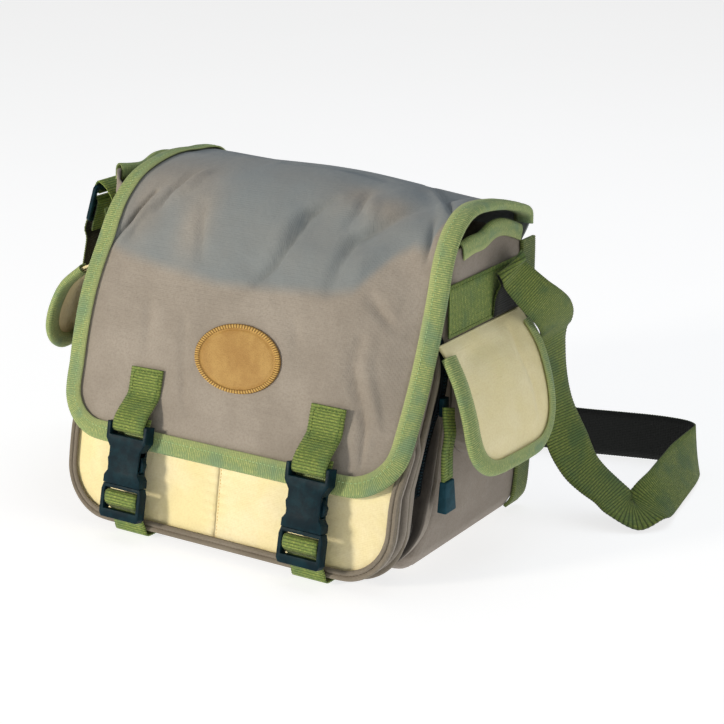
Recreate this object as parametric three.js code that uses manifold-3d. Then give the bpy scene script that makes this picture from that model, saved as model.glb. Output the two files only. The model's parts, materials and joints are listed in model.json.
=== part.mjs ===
// A canvas fishing bag with an over-flap, two side pockets and a shoulder strap.
// Millimetres, +Z up. X runs across the bag, -Y is its front and the floor is z = 0.
import * as THREE from "three";
import { mergeVertices } from "three/addons/utils/BufferGeometryUtils.js";
import Module from "manifold-3d";

const wasm = await Module();
wasm.setup();

// Overall sizes of the bag
const BAG_WIDTH = 300; // across the front of the main compartment
const BAG_HEIGHT = 243; // floor to the mouth, on the right
const BAG_DEPTH = 212; // back panel to the front pocket, at the floor
const BACK_Y = 107.5; // where the back panel stands behind the origin
const LEFT_RISE = 17; // the left side stands this much taller than the right
const CORNER_PEAK = 7; // the left front corner of the mouth is pulled up
const BODY_CORNER = 9; // rounding of the upright corners

// Cloth and tape
const WALL = 2; // canvas
const GAP = 0.4; // between pieces that touch
const TAPE = 1.2; // thickness of the binding tape
const TAPE_LIFT = 1.3; // how far the tape's legs stand off the cloth

// The over-flap
const FLAP_CORNER = 38; // radius of the two lower corners
const FLAP_BINDING = 12; // visible width of its tape
const MOUTH_BINDING = 9.5; // the same on the mouth of the side panels
const SIDE_BINDING = 9; // the same on the side pockets' flaps
const BACK_BINDING = 10; // how far the taped back seams stand out
const BACK_BINDING_THICKNESS = 3;

// The zipped front section and the patch pocket on it
const FRONT_SHIFT = 4; // the front sits a little to the right
const SECTION_INSET = 1; // the section is narrower than the bag by this on each side
const SECTION_TOP = 204;
const SECTION_LIFT = 3; // underside above the floor
const SECTION_CORNER = 40;
const SECTION_TOP_CORNER = 60;
const SECTION_PLEAT = 7; // how deep the bellows fold in
const PLEAT_TOP = 100; // height above which they flatten out
const PLEAT_FADE = 40;
const POCKET_OVERHANG = 1; // the pocket is wider than the bag by this on each side
const POCKET_TOP = 150;
const POCKET_LIFT = 6;
const POCKET_CORNER = 42;
const POCKET_DEPTH = 14; // gusset of the patch pocket, low down
const POCKET_TOP_DEPTH = 6.5; // the same at its top, under the flap
const POCKET_SETBACK = 8; // the pocket lies this far under the flap
const POCKET_PLEAT = 4;
const SECTION_SETBACK = 9; // the section's upper part under the flap
const FRONT_LEAN = 0.19; // forward lean below the flap, mm for each mm down
const EDGING_WIDTH = 8; // flat edging round the pocket
const EDGING_THICKNESS = 2;

// Webbing
const STRAP_WIDTH = 40; // shoulder strap and side bands
const STRAP_THICKNESS = 1.8;
const BAND_THICKNESS = 1.4;
const TAB_WIDTH = 30; // the two closing straps
const TAB_THICKNESS = 1.5;
const TAB_SPACING = 166; // between the closing straps
const TAB_TOP = 128; // height of their upper ends
const TAB_SHIFT = 5; // the pair sits this far right of the middle

// Side-release buckles
const BUCKLE_WIDTH = 38;
const BUCKLE_TOP = 88; // height of the upper bar
const BUCKLE_BACK = 6.2; // stands off the flap's middle surface
const BUCKLE_THICKNESS = 10;
const FEMALE_LENGTH = 48;
const MALE_LENGTH = 27;
const BUCKLE_NECK = 29; // narrow part between the two squeeze arms
const BUCKLE_WALL = 2.2;
const BUCKLE_BAR = 4;
const BUCKLE_SLOT = 6;

// Leather patch
const PATCH_WIDTH = 78;
const PATCH_HEIGHT = 48;
const PATCH_THICKNESS = 1.8;
const PATCH_X = 1;
const PATCH_Z = 147;

// Side pockets and side bands
const BAND_Z = 174; // lower edge of the side band, on the right
const BAND_FRONT = -13;
const BAND_BACK = 95;
const SIDE_POCKET_FRONT = -9;
const SIDE_POCKET_LENGTH = 96;
const SIDE_POCKET_TOP = 152;
const SIDE_POCKET_BOTTOM = 78;
const SIDE_POCKET_CORNER = 26;
const RIGHT_POCKET_DEPTH = 34;
const LEFT_POCKET_DEPTH = 54; // the left one is packed fuller
const SIDE_FLAP_CLEARANCE = 4.4;
const RIGHT_FLAP_DROP = 94; // seam to hem
const LEFT_FLAP_DROP = 80;
const LEFT_FULLNESS = 0.7; // the fuller pocket pushes its flap out from the seam on
const SEAM_LIFT = 1.4; // loose pieces stand this far off what they are sewn on

// Zip of the front section, with its pull
const ZIP_WIDTH = 9;
const ZIP_THICKNESS = 1.4;
const ZIP_LOW = 62; // height where the zip starts on both sides
const ZIP_PLACE = 0.5; // share of the section's depth, from its front
const SLIDER_LENGTH = 14;
const SLIDER_THICKNESS = 4;
const PULL_WIDTH = 13;
const PULL_THICKNESS = 3;
const PULL_LENGTH = 52;
const TIP_LENGTH = 24;
const TIP_WIDTH = 16;
const TIP_THICKNESS = 7;
const PULL_LEAN = 0.32; // the pull hangs this much forward for each mm down
const PULL_BEND = 30; // length that hangs aslant
const PULL_OUT = 5; // its end stands this much further out

// Strap slider on the left
const STRAP_SLIDER_WIDTH = 49;
const STRAP_SLIDER_LENGTH = 32;
const STRAP_SLIDER_THICKNESS = 3.4;
const STRAP_SLIDER_BAR = 4;

// Colours
const TAUPE = 0x9c9184;
const BEIGE = 0xf0e2ac;
const GREEN_TAPE = 0x86a878;
const GREEN_WEBBING = 0x6a8a42;
const PLASTIC = 0x1b3038;
const TAN_LEATHER = 0xc2964a;

const finish = {
  canvas: { color: TAUPE, roughness: 0.9 },
  beigeCanvas: { color: BEIGE, roughness: 0.9 },
  tape: { color: GREEN_TAPE, roughness: 0.85 },
  webbing: { color: GREEN_WEBBING, roughness: 0.8 },
  plastic: { color: PLASTIC, roughness: 0.4 },
  leather: { color: TAN_LEATHER, roughness: 0.8 },
};

// The main compartment by height. height: share of BAG_HEIGHT; left and right: share of
// half BAG_WIDTH; front and back: share of BAG_DEPTH from the back panel.
const BODY = [
  { height: 0.0, left: 0.9, right: 0.9, front: 0.74, back: 0.028 },
  { height: 0.021, left: 0.955, right: 0.95, front: 0.765, back: 0.01 },
  { height: 0.058, left: 0.99, right: 0.985, front: 0.77, back: 0.003 },
  { height: 0.14, left: 1.01, right: 1.0, front: 0.705, back: 0.0 },
  { height: 0.28, left: 1.03, right: 1.005, front: 0.63, back: -0.004 },
  { height: 0.46, left: 1.05, right: 1.0, front: 0.592, back: -0.006 },
  { height: 0.62, left: 1.07, right: 1.0, front: 0.59, back: -0.004 },
  { height: 0.74, left: 1.085, right: 1.0, front: 0.578, back: 0.0 },
  { height: 0.88, left: 1.105, right: 1.0, front: 0.55, back: 0.0 },
  { height: 1.0, left: 1.12, right: 0.995, front: 0.52, back: 0.0 },
];

// Wave of the mouth. along: share of the side panel from the back to the front;
// rise: share of BAG_HEIGHT.
const MOUTH = [
  { along: 0.0, rise: -0.05 },
  { along: 0.12, rise: -0.03 },
  { along: 0.32, rise: 0.006 },
  { along: 0.5, rise: 0.008 },
  { along: 0.66, rise: -0.012 },
  { along: 0.82, rise: -0.01 },
  { along: 1.0, rise: -0.026 },
];

// The flap from its back seam to its hem, along its left edge, middle and right edge.
// x: share of half BAG_WIDTH; y: share of BAG_DEPTH from the back panel; z: share of
// BAG_HEIGHT; curl: share of BAG_WIDTH in which each side curls down.
const FLAP = [
  { curl: 0.3, lx: 0.96, ly: -0.014, lz: 0.98, my: -0.014, mz: 0.94, rx: 0.96, ry: -0.014, rz: 0.91 },
  { curl: 0.4, lx: 0.97, ly: -0.02, lz: 1.05, my: -0.014, mz: 1.01, rx: 0.995, ry: -0.04, rz: 0.985 },
  { curl: 0.5, lx: 0.985, ly: 0.05, lz: 1.082, my: 0.06, mz: 1.066, rx: 1.012, ry: 0.04, rz: 1.026 },
  { curl: 0.5, lx: 0.985, ly: 0.16, lz: 1.092, my: 0.16, mz: 1.103, rx: 1.015, ry: 0.16, rz: 1.058 },
  { curl: 0.5, lx: 0.985, ly: 0.28, lz: 1.1, my: 0.28, mz: 1.124, rx: 1.015, ry: 0.28, rz: 1.076 },
  { curl: 0.45, lx: 0.99, ly: 0.4, lz: 1.086, my: 0.4, mz: 1.112, rx: 1.015, ry: 0.4, rz: 1.082 },
  { curl: 0.35, lx: 1.0, ly: 0.5, lz: 1.055, my: 0.515, mz: 1.06, rx: 1.015, ry: 0.495, rz: 1.052 },
  { curl: 0.25, lx: 1.01, ly: 0.6, lz: 0.98, my: 0.612, mz: 0.967, rx: 1.015, ry: 0.57, rz: 0.972 },
  { curl: 0.2, lx: 1.02, ly: 0.685, lz: 0.86, my: 0.69, mz: 0.845, rx: 1.015, ry: 0.62, rz: 0.842 },
  { curl: 0.195, lx: 1.03, ly: 0.768, lz: 0.73, my: 0.765, mz: 0.72, rx: 1.015, ry: 0.682, rz: 0.7 },
  { curl: 0.195, lx: 1.03, ly: 0.825, lz: 0.6, my: 0.828, mz: 0.595, rx: 1.015, ry: 0.745, rz: 0.58 },
  { curl: 0.195, lx: 1.02, ly: 0.875, lz: 0.47, my: 0.88, mz: 0.465, rx: 1.015, ry: 0.83, rz: 0.45 },
  { curl: 0.195, lx: 1.01, ly: 0.952, lz: 0.3, my: 0.953, mz: 0.3, rx: 1.015, ry: 0.947, rz: 0.3 },
];

// Soft folds of the flap. x and x2: share of half BAG_WIDTH; s and s2: share of the flap's
// length; spread: share of BAG_WIDTH; depth in mm, inward.
const FLAP_FOLDS = [
  { x: 0.42, s: 0.3, x2: -0.1, s2: 0.62, spread: 0.035, depth: 3.4 },
  { x: -0.62, s: 0.33, x2: -0.85, s2: 0.54, spread: 0.03, depth: 3.2 },
  { x: 0.68, s: 0.22, x2: 0.8, s2: 0.4, spread: 0.035, depth: 4 },
  { x: 0.25, s: 0.44, x2: 0.72, s2: 0.49, spread: 0.06, depth: 4.5 },
  { x: -0.5, s: 0.62, x2: -0.52, s2: 0.86, spread: 0.03, depth: 1.6 },
  { x: 0.7, s: 0.66, x2: 0.82, s2: 0.93, spread: 0.03, depth: 1.8 },
];

// A side pocket's flap by height. height: share of the drop from seam to hem; out: share
// of the pocket's depth; front and back: share of SIDE_POCKET_LENGTH past the pocket's.
const SIDE_FLAP = [
  { height: 0.0, out: 0.0, front: 0.21, back: 0.075 },
  { height: 0.08, out: 0.14, front: 0.22, back: 0.07 },
  { height: 0.27, out: 0.52, front: 0.26, back: 0.05 },
  { height: 0.5, out: 0.82, front: 0.29, back: -0.01 },
  { height: 0.7, out: 0.98, front: 0.3, back: -0.07 },
  { height: 0.84, out: 1.03, front: 0.26, back: -0.14 },
  { height: 0.93, out: 1.04, front: 0.18, back: -0.23 },
  { height: 0.985, out: 1.04, front: 0.07, back: -0.34 },
  { height: 1.0, out: 1.04, front: -0.05, back: -0.44 },
];

// How far a side pocket stands out, by height. height: share of the pocket's own height
// from its bottom; out: share of its depth.
const SIDE_POCKET = [
  { height: 0.0, out: 0.9 },
  { height: 0.15, out: 1.0 },
  { height: 0.4, out: 0.95 },
  { height: 0.7, out: 0.62 },
  { height: 1.0, out: 0.24 },
];

// The shoulder strap from its sewn end on the right band, round behind the bag, to the
// slider on the left. x: share of half BAG_WIDTH, past the seat on the side band; y: share
// of BAG_DEPTH from the back panel, less than 0 behind it; z: share of BAG_HEIGHT; wx, wy
// and wz: the way its width points; spread: share of its full width.
const STRAP = [
  { x: 1.0, y: 0.172, z: 0.722, wx: 0, wy: 1, wz: 0, spread: 1 },
  { x: 1.01, y: 0.172, z: 0.78, wx: 0, wy: 1, wz: 0, spread: 1 },
  { x: 1.04, y: 0.182, z: 0.842, wx: 0, wy: 1, wz: 0.05, spread: 0.95 },
  { x: 1.06, y: 0.226, z: 0.888, wx: 0.1, wy: 0.9, wz: 0.42, spread: 0.7 },
  { x: 1.082, y: 0.24, z: 0.886, wx: 0.2, wy: 0.7, wz: 0.65, spread: 0.62 },
  { x: 1.093, y: 0.215, z: 0.85, wx: 0.4, wy: 0.55, wz: 0.73, spread: 0.66 },
  { x: 1.153, y: 0.139, z: 0.774, wx: 0.45, wy: 0.6, wz: 0.66, spread: 0.76 },
  { x: 1.173, y: 0.04, z: 0.708, wx: 0.35, wy: 0.8, wz: 0.45, spread: 0.85 },
  { x: 1.15, y: -0.03, z: 0.65, wx: 0.2, wy: 0.97, wz: 0.1, spread: 0.9 },
  { x: 1.105, y: -0.058, z: 0.6, wx: 0.14, wy: 0.99, wz: 0, spread: 0.95 },
  { x: 1.098, y: -0.066, z: 0.542, wx: 0.1, wy: 0.99, wz: 0.03, spread: 1 },
  { x: 1.112, y: -0.066, z: 0.444, wx: 0.12, wy: 0.99, wz: 0.05, spread: 1 },
  { x: 1.142, y: -0.066, z: 0.353, wx: 0.2, wy: 0.97, wz: 0.1, spread: 1 },
  { x: 1.219, y: -0.059, z: 0.25, wx: 0.33, wy: 0.9, wz: 0.25, spread: 1 },
  { x: 1.304, y: -0.064, z: 0.165, wx: 0.15, wy: 0.95, wz: 0.25, spread: 1 },
  { x: 1.441, y: -0.073, z: 0.103, wx: -0.05, wy: 0.97, wz: 0.22, spread: 1 },
  { x: 1.6, y: -0.087, z: 0.045, wx: -0.1, wy: 0.95, wz: 0.25, spread: 1 },
  { x: 1.65, y: -0.182, z: 0.066, wx: -0.4, wy: 0.75, wz: 0.5, spread: 0.95 },
  { x: 1.64, y: -0.342, z: 0.082, wx: -0.55, wy: 0.3, wz: 0.78, spread: 0.97 },
  { x: 1.61, y: -0.507, z: 0.087, wx: -0.5, wy: 0.1, wz: 0.86, spread: 1 },
  { x: 1.586, y: -0.649, z: 0.088, wx: -0.3, wy: 0, wz: 0.95, spread: 1 },
  { x: 1.553, y: -0.729, z: 0.088, wx: -0.1, wy: 0, wz: 1, spread: 1 },
  { x: 1.459, y: -0.757, z: 0.088, wx: 0, wy: 0, wz: 1, spread: 1 },
  { x: 1.246, y: -0.738, z: 0.088, wx: 0, wy: 0, wz: 1, spread: 1 },
  { x: 0.879, y: -0.663, z: 0.088, wx: 0, wy: 0, wz: 1, spread: 1 },
  { x: 0.313, y: -0.601, z: 0.088, wx: 0, wy: 0, wz: 1, spread: 1 },
  { x: -0.313, y: -0.54, z: 0.088, wx: 0, wy: 0, wz: 1, spread: 1 },
  { x: -0.913, y: -0.436, z: 0.088, wx: 0, wy: 0, wz: 1, spread: 1 },
  { x: -1.279, y: -0.295, z: 0.09, wx: 0, wy: 0, wz: 1, spread: 1 },
  { x: -1.486, y: -0.106, z: 0.125, wx: -0.25, wy: 0.2, wz: 0.95, spread: 1 },
  { x: -1.579, y: 0.083, z: 0.235, wx: -0.45, wy: 0.5, wz: 0.75, spread: 1 },
  { x: -1.58, y: 0.224, z: 0.39, wx: -0.35, wy: 0.8, wz: 0.45, spread: 1 },
  { x: -1.51, y: 0.318, z: 0.555, wx: -0.15, wy: 0.97, wz: 0.2, spread: 1 },
  { x: -1.4, y: 0.366, z: 0.7, wx: 0, wy: 1, wz: 0.05, spread: 1 },
  { x: -1.335, y: 0.389, z: 0.815, wx: 0, wy: 1, wz: 0, spread: 1 },
];

// The strap slider's upper bar, in the same shares, and the lean of the slider.
const SLIDER_AT = { x: -1.23, y: 0.394, z: 1.005 };
const SLIDER_LEAN = 0.32; // radians out of the upright

// The anchor tab between the left band and the slider, in the same shares.
const ANCHOR = [
  { x: -1.13, z: 0.95 },
  { x: -1.15, z: 0.975 },
  { x: -1.18, z: 1.0 },
];

// Small helpers

const HALF = BAG_WIDTH / 2;

function vec(x, y, z) {
  return new THREE.Vector3(x, y, z);
}

function mix(a, b, t) {
  return a + (b - a) * t;
}

function smooth(t) {
  const k = Math.min(1, Math.max(0, t));
  return k * k * (3 - 2 * k);
}

// Reads a column of a table at a value of its first column, straight between the rows.
function readTable(rows, index, column, value) {
  let i = 1;
  while (i < rows.length - 1 && rows[i][index] < value) i += 1;
  const low = rows[i - 1];
  const high = rows[i];
  const t = (value - low[index]) / (high[index] - low[index]);
  return mix(low[column], high[column], Math.min(1, Math.max(0, t)));
}

// One closed body with merged corners and its faces pointing out.
function closed(geometry) {
  geometry.deleteAttribute("normal");
  geometry.deleteAttribute("uv");
  const merged = mergeVertices(geometry, 1e-3);
  const at = merged.getAttribute("position");
  const index = merged.index;
  const a = vec(0, 0, 0);
  const b = vec(0, 0, 0);
  const c = vec(0, 0, 0);
  let volume = 0;
  for (let i = 0; i < index.count; i += 3) {
    a.fromBufferAttribute(at, index.getX(i));
    b.fromBufferAttribute(at, index.getX(i + 1));
    c.fromBufferAttribute(at, index.getX(i + 2));
    volume += a.dot(b.cross(c));
  }
  if (volume < 0) {
    for (let i = 0; i < index.count; i += 3) {
      const first = index.getX(i);
      index.setX(i, index.getX(i + 1));
      index.setX(i + 1, first);
    }
  }
  return merged;
}

// A sheet: place(u, v, w) gives a point for u and v from 0 to 1 and w from -0.5 to 0.5
// through the thickness.
function sheet(across, down, place) {
  const geometry = new THREE.BoxGeometry(1, 1, 1, across, down, 1);
  const at = geometry.getAttribute("position");
  for (let i = 0; i < at.count; i += 1) {
    const p = place(at.getX(i) + 0.5, at.getY(i) + 0.5, at.getZ(i));
    at.setXYZ(i, p.x, p.y, p.z);
  }
  return closed(geometry);
}

// A body through a stack of rings, each a list of as many points, with flat ends.
function loft(rings) {
  const around = rings[0].length;
  const levels = rings.length - 1;
  const geometry = new THREE.CylinderGeometry(1, 1, 1, around, levels);
  const at = geometry.getAttribute("position");
  for (let i = 0; i < at.count; i += 1) {
    const level = Math.round((0.5 + at.getY(i)) * levels);
    const turn = Math.atan2(at.getX(i), at.getZ(i)) / (2 * Math.PI);
    const ring = rings[level];
    const centre = Math.hypot(at.getX(i), at.getZ(i)) < 0.5;
    const p = centre ? middleOf(ring) : ring[(Math.round(turn * around) + around) % around];
    at.setXYZ(i, p.x, p.y, p.z);
  }
  return closed(geometry);
}

function middleOf(points) {
  const sum = vec(0, 0, 0);
  points.forEach((p) => sum.add(p));
  return sum.divideScalar(points.length);
}

function toSolid(geometry) {
  const at = geometry.getAttribute("position");
  const mesh = new wasm.Mesh({
    numProp: 3,
    vertProperties: Float32Array.from(at.array),
    triVerts: Uint32Array.from(geometry.index.array),
  });
  return new wasm.Manifold(mesh);
}

function toGeometry(solid) {
  const mesh = solid.getMesh();
  const geometry = new THREE.BufferGeometry();
  geometry.setAttribute("position", new THREE.BufferAttribute(mesh.vertProperties, 3));
  geometry.setIndex(new THREE.BufferAttribute(mesh.triVerts, 1));
  return geometry;
}

function cut(geometry, ...tools) {
  let solid = toSolid(geometry);
  tools.forEach((tool) => {
    solid = solid.subtract(toSolid(tool));
  });
  return toGeometry(solid);
}

function join(...geometries) {
  let solid = toSolid(geometries[0]);
  geometries.slice(1).forEach((other) => {
    solid = solid.add(toSolid(other));
  });
  return toGeometry(solid);
}

function box(x0, x1, y0, y1, z0, z1) {
  const geometry = new THREE.BoxGeometry(x1 - x0, y1 - y0, z1 - z0);
  geometry.translate((x0 + x1) / 2, (y0 + y1) / 2, (z0 + z1) / 2);
  return closed(geometry);
}

// A plate drawn in x and z, from y0 to y1.
function plate(outline, y0, y1) {
  const shape = new THREE.Shape(outline.map(([x, z]) => new THREE.Vector2(x, z)));
  const geometry = new THREE.ExtrudeGeometry(shape, { depth: y1 - y0, bevelEnabled: false });
  geometry.rotateX(Math.PI / 2);
  geometry.translate(0, y1, 0);
  return closed(geometry);
}

// The way out of a surface(u, v) at a point, by small steps.
function outward(surface, u, v, step) {
  const alongU = surface(u + step, v).sub(surface(u - step, v));
  const alongV = surface(u, v + step).sub(surface(u, v - step));
  return alongV.cross(alongU).normalize();
}

// The main compartment

function bodyValue(column, z) {
  return readTable(BODY, "height", column, z / BAG_HEIGHT);
}

function bodyFront(z) {
  return BACK_Y - BAG_DEPTH * bodyValue("front", z);
}

function bodyBack(z) {
  return BACK_Y - BAG_DEPTH * bodyValue("back", z);
}

// The side panel's x at a height: side is 1 on the right and -1 on the left. The panel is
// straight between the table's rows, and its last stretch reaches up to the mouth.
function bodySide(side, z) {
  const column = side > 0 ? "right" : "left";
  const last = BODY[BODY.length - 1];
  const before = BODY[BODY.length - 2];
  const low = before.height * BAG_HEIGHT;
  if (z <= low) return side * HALF * bodyValue(column, z);
  const t = (z - low) / (BAG_HEIGHT + riseOf(side) - low);
  return side * HALF * mix(before[column], last[column], Math.min(1, t));
}

function riseOf(side) {
  return side > 0 ? 0 : LEFT_RISE;
}

// Height of the mouth: it waves along the side panels and is pulled up on the left.
function mouthHeight(x, y) {
  const along = (BACK_Y - y) / (BACK_Y - bodyFront(BAG_HEIGHT));
  const gradual = Math.min(1, Math.max(0, 0.5 - x / BAG_WIDTH));
  const steep = smooth((-x / HALF - 1.03) / 0.06);
  const toLeft = mix(gradual, steep, smooth((along - 0.5) / 0.4));
  const peak = CORNER_PEAK * smooth((along - 0.7) / 0.3) * steep;
  return BAG_HEIGHT * (1 + readTable(MOUTH, "along", "rise", along)) + LEFT_RISE * toLeft + peak;
}

const SIDE_STEPS = 6; // divisions along a side panel

// A ring round the compartment: right front corner, right side, back, left side, front.
function bodyRing(z, inset, height) {
  const left = bodySide(-1, z) + inset;
  const right = bodySide(1, z) - inset;
  const front = bodyFront(z) + inset;
  const back = bodyBack(z) - inset;
  const radius = BODY_CORNER - inset;
  const corners = [
    { x: right - radius, y: front + radius, turn: -0.5, steps: SIDE_STEPS },
    { x: right - radius, y: back - radius, turn: 0, steps: 2 },
    { x: left + radius, y: back - radius, turn: 0.5, steps: SIDE_STEPS },
    { x: left + radius, y: front + radius, turn: 1, steps: 4 },
  ];
  const onCorner = (corner, quarter) => {
    const angle = (corner.turn + quarter / 2) * Math.PI;
    return vec(corner.x + radius * Math.cos(angle), corner.y + radius * Math.sin(angle), 0);
  };
  const points = [];
  corners.forEach((corner, i) => {
    points.push(onCorner(corner, 0), onCorner(corner, 0.5), onCorner(corner, 1));
    const next = onCorner(corners[(i + 1) % corners.length], 0);
    const start = points[points.length - 1];
    for (let k = 1; k < corner.steps; k += 1) points.push(start.clone().lerp(next, k / corner.steps));
  });
  points.forEach((p) => {
    p.z = height(p);
  });
  return points;
}

function mainBody() {
  const levels = BODY.map((row) => row.height * BAG_HEIGHT);
  const top = levels.length - 1;
  levels[top] += LEFT_RISE;
  const ringAt = (i, inset) =>
    bodyRing(levels[i], inset, (p) => (i === top ? mouthHeight(p.x, p.y) : levels[i]));
  const outer = levels.map((z, i) => ringAt(i, 0));
  const inner = [bodyRing(WALL, WALL, () => WALL)];
  for (let i = 1; i <= top; i += 1) inner.push(ringAt(i, WALL));
  inner.push(inner[top].map((p) => vec(p.x, p.y, p.z + BAG_HEIGHT / 4)));
  return cut(loft(outer), loft(inner));
}

// The flap's surface

// One lengthwise line of the flap: letter is l, m or r.
function flapLine(letter) {
  const side = { l: -1, m: 0, r: 1 }[letter];
  const points = FLAP.map((row) => {
    const x = side === 0 ? 0 : side * HALF * row[letter + "x"];
    return vec(x, BACK_Y - BAG_DEPTH * row[letter + "y"], BAG_HEIGHT * row[letter + "z"]);
  });
  return new THREE.CatmullRomCurve3(points, false, "centripetal");
}

// The share of a curve's length at its parameter t.
function lengthShare(curve, t) {
  const lengths = curve.getLengths(400);
  return lengths[Math.round(t * 400)] / lengths[400];
}

const flapLeft = flapLine("l");
const flapMiddle = flapLine("m");
const flapRight = flapLine("r");
const FLAP_LENGTH = flapMiddle.getLength();
const FLAP_CURLS = FLAP.map((row, i) => {
  const share = i / (FLAP.length - 1);
  return { s: lengthShare(flapMiddle, share), curl: row.curl };
});

// How deep the folds press the flap in at x (share of half width) and s (share of length).
function foldDepth(q, s) {
  let depth = 0;
  FLAP_FOLDS.forEach((fold) => {
    const start = new THREE.Vector2(fold.x * HALF, fold.s * FLAP_LENGTH);
    const run = new THREE.Vector2(fold.x2 * HALF, fold.s2 * FLAP_LENGTH).sub(start);
    const here = new THREE.Vector2(q * HALF, s * FLAP_LENGTH).sub(start);
    const t = Math.min(1, Math.max(0, here.dot(run) / run.lengthSq()));
    const away = here.distanceTo(run.clone().multiplyScalar(t)) / (fold.spread * BAG_WIDTH);
    depth += fold.depth * Math.exp(-away * away);
  });
  return depth;
}

// The flap's middle surface without its folds. q runs from -1 at its left edge to 1 at its
// right edge, and s from 0 at the back seam to 1 at the hem.
function plainFlap(q, s) {
  const at = Math.min(1, Math.max(0, s));
  const middle = flapMiddle.getPointAt(at);
  const edge = (q < 0 ? flapLeft : flapRight).getPointAt(at);
  const half = Math.abs(edge.x);
  const x = q * half;
  const band = readTable(FLAP_CURLS, "s", "curl", at) * BAG_WIDTH;
  const curl = smooth((Math.abs(x) - half + band) / band);
  return vec(x, mix(middle.y, edge.y, curl), mix(middle.z, edge.z, curl));
}

// The same with the folds pressed in.
function flapPoint(q, s) {
  const at = Math.min(1, Math.max(0, s));
  const way = flapMiddle.getTangentAt(at);
  const fold = foldDepth(q, at);
  return plainFlap(q, at).add(vec(0, -fold * way.z, fold * way.y));
}

function normalOf(surface, q, s) {
  return outward(surface, q, Math.min(0.998, Math.max(0.002, s)), 0.002);
}

// A point that stands off the flap's middle surface.
function offFlap(q, s, lift) {
  return flapPoint(q, s).addScaledVector(normalOf(flapPoint, q, s), lift);
}

// The same for pieces that bridge the folds.
function offPlainFlap(q, s, lift) {
  return plainFlap(q, s).addScaledVector(normalOf(plainFlap, q, s), lift);
}

// The share of length at which the flap comes down to a height, at a share across.
function flapDown(q, z) {
  let low = 0.45;
  let high = 1;
  for (let i = 0; i < 30; i += 1) {
    const half = (low + high) / 2;
    if (plainFlap(q, half).z > z) low = half;
    else high = half;
  }
  return (low + high) / 2;
}

const FLAP_HALF = Math.abs(flapRight.getPointAt(1).x);
const HEM_Z = flapMiddle.getPointAt(1).z;

// The y of the bag's front under the flap's middle surface, and below its hem.
function faceY(x, z) {
  const q = Math.min(1, Math.max(-1, x / FLAP_HALF));
  if (z < HEM_Z) return plainFlap(q, 1).y - (HEM_Z - z) * FRONT_LEAN;
  return plainFlap(q, flapDown(q, z)).y;
}

// The share of length where the flap is cut off, with its two round corners.
function flapEnd(q) {
  const fromEdge = (1 - Math.abs(q)) * FLAP_HALF;
  const short = Math.max(0, FLAP_CORNER - fromEdge);
  return 1 - (FLAP_CORNER - Math.sqrt(FLAP_CORNER ** 2 - short ** 2)) / FLAP_LENGTH;
}

const CORNER_STEPS = 5;
const MIDDLE_STEPS = 8;
const FLAP_ACROSS = 2 * CORNER_STEPS + MIDDLE_STEPS;
const FLAP_DOWN = 21;

// Stations across the flap, closer together round its corners.
function flapAcross(u) {
  const step = u * FLAP_ACROSS;
  const corner = FLAP_CORNER / FLAP_HALF;
  const round = (k) => corner * (1 - Math.cos((k / CORNER_STEPS) * (Math.PI / 2)));
  if (step <= CORNER_STEPS) return -1 + round(step);
  if (step >= FLAP_ACROSS - CORNER_STEPS) return 1 - round(FLAP_ACROSS - step);
  return mix(-1 + corner, 1 - corner, (step - CORNER_STEPS) / MIDDLE_STEPS);
}

function flap() {
  return sheet(FLAP_ACROSS, FLAP_DOWN, (u, v, w) => {
    const q = flapAcross(u);
    return offFlap(q, v * flapEnd(q), w * WALL);
  });
}

// Tape folded round the edge of a cloth. edge lists its corners as [a, b] on the surface
// at(a, b), in mm or nearly so, and middle is a place on the side the tape folds over.
function foldedTape(edge, at, middle, width) {
  const leg = WALL / 2 + TAPE_LIFT + TAPE / 2;
  const profile = [
    { into: width, up: leg, nx: 0, ny: 1 },
    { into: 0, up: leg, nx: 0, ny: 1 },
    { into: -leg, up: 0, nx: -1, ny: 0 },
    { into: 0, up: -leg, nx: 0, ny: -1 },
    { into: width, up: -leg, nx: 0, ny: -1 },
  ];
  const last = profile.length - 1;
  const spots = edge.map((spot) => new THREE.Vector2(...spot));
  const centre = new THREE.Vector2(...middle);
  const inwards = spots.map((spot, i) => {
    const before = spots[Math.max(0, i - 1)];
    const after = spots[Math.min(spots.length - 1, i + 1)];
    const along = after.clone().sub(before).normalize();
    const way = new THREE.Vector2(-along.y, along.x);
    return way.dot(centre.clone().sub(spot)) < 0 ? way.negate() : way;
  });
  const placeOn = (i, into) => {
    const spot = spots[i].clone().addScaledVector(inwards[i], into);
    return at(spot.x, spot.y);
  };
  const faceOn = (i, into) => {
    const spot = spots[i].clone().addScaledVector(inwards[i], into);
    return outward(at, spot.x, spot.y, 0.5);
  };
  return sheet(spots.length - 1, last, (u, v, w) => {
    const i = Math.round(u * (spots.length - 1));
    const row = profile[Math.round(v * last)];
    const shift = row.nx * w * TAPE;
    const into = row.into + shift;
    if (row.into < 0) {
      const rim = placeOn(i, 0);
      const way = rim.clone().sub(placeOn(i, 2)).normalize();
      return rim.addScaledVector(way, -into);
    }
    return placeOn(i, into).addScaledVector(faceOn(i, Math.max(0.6, into)), row.up + row.ny * w * TAPE);
  });
}

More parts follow.
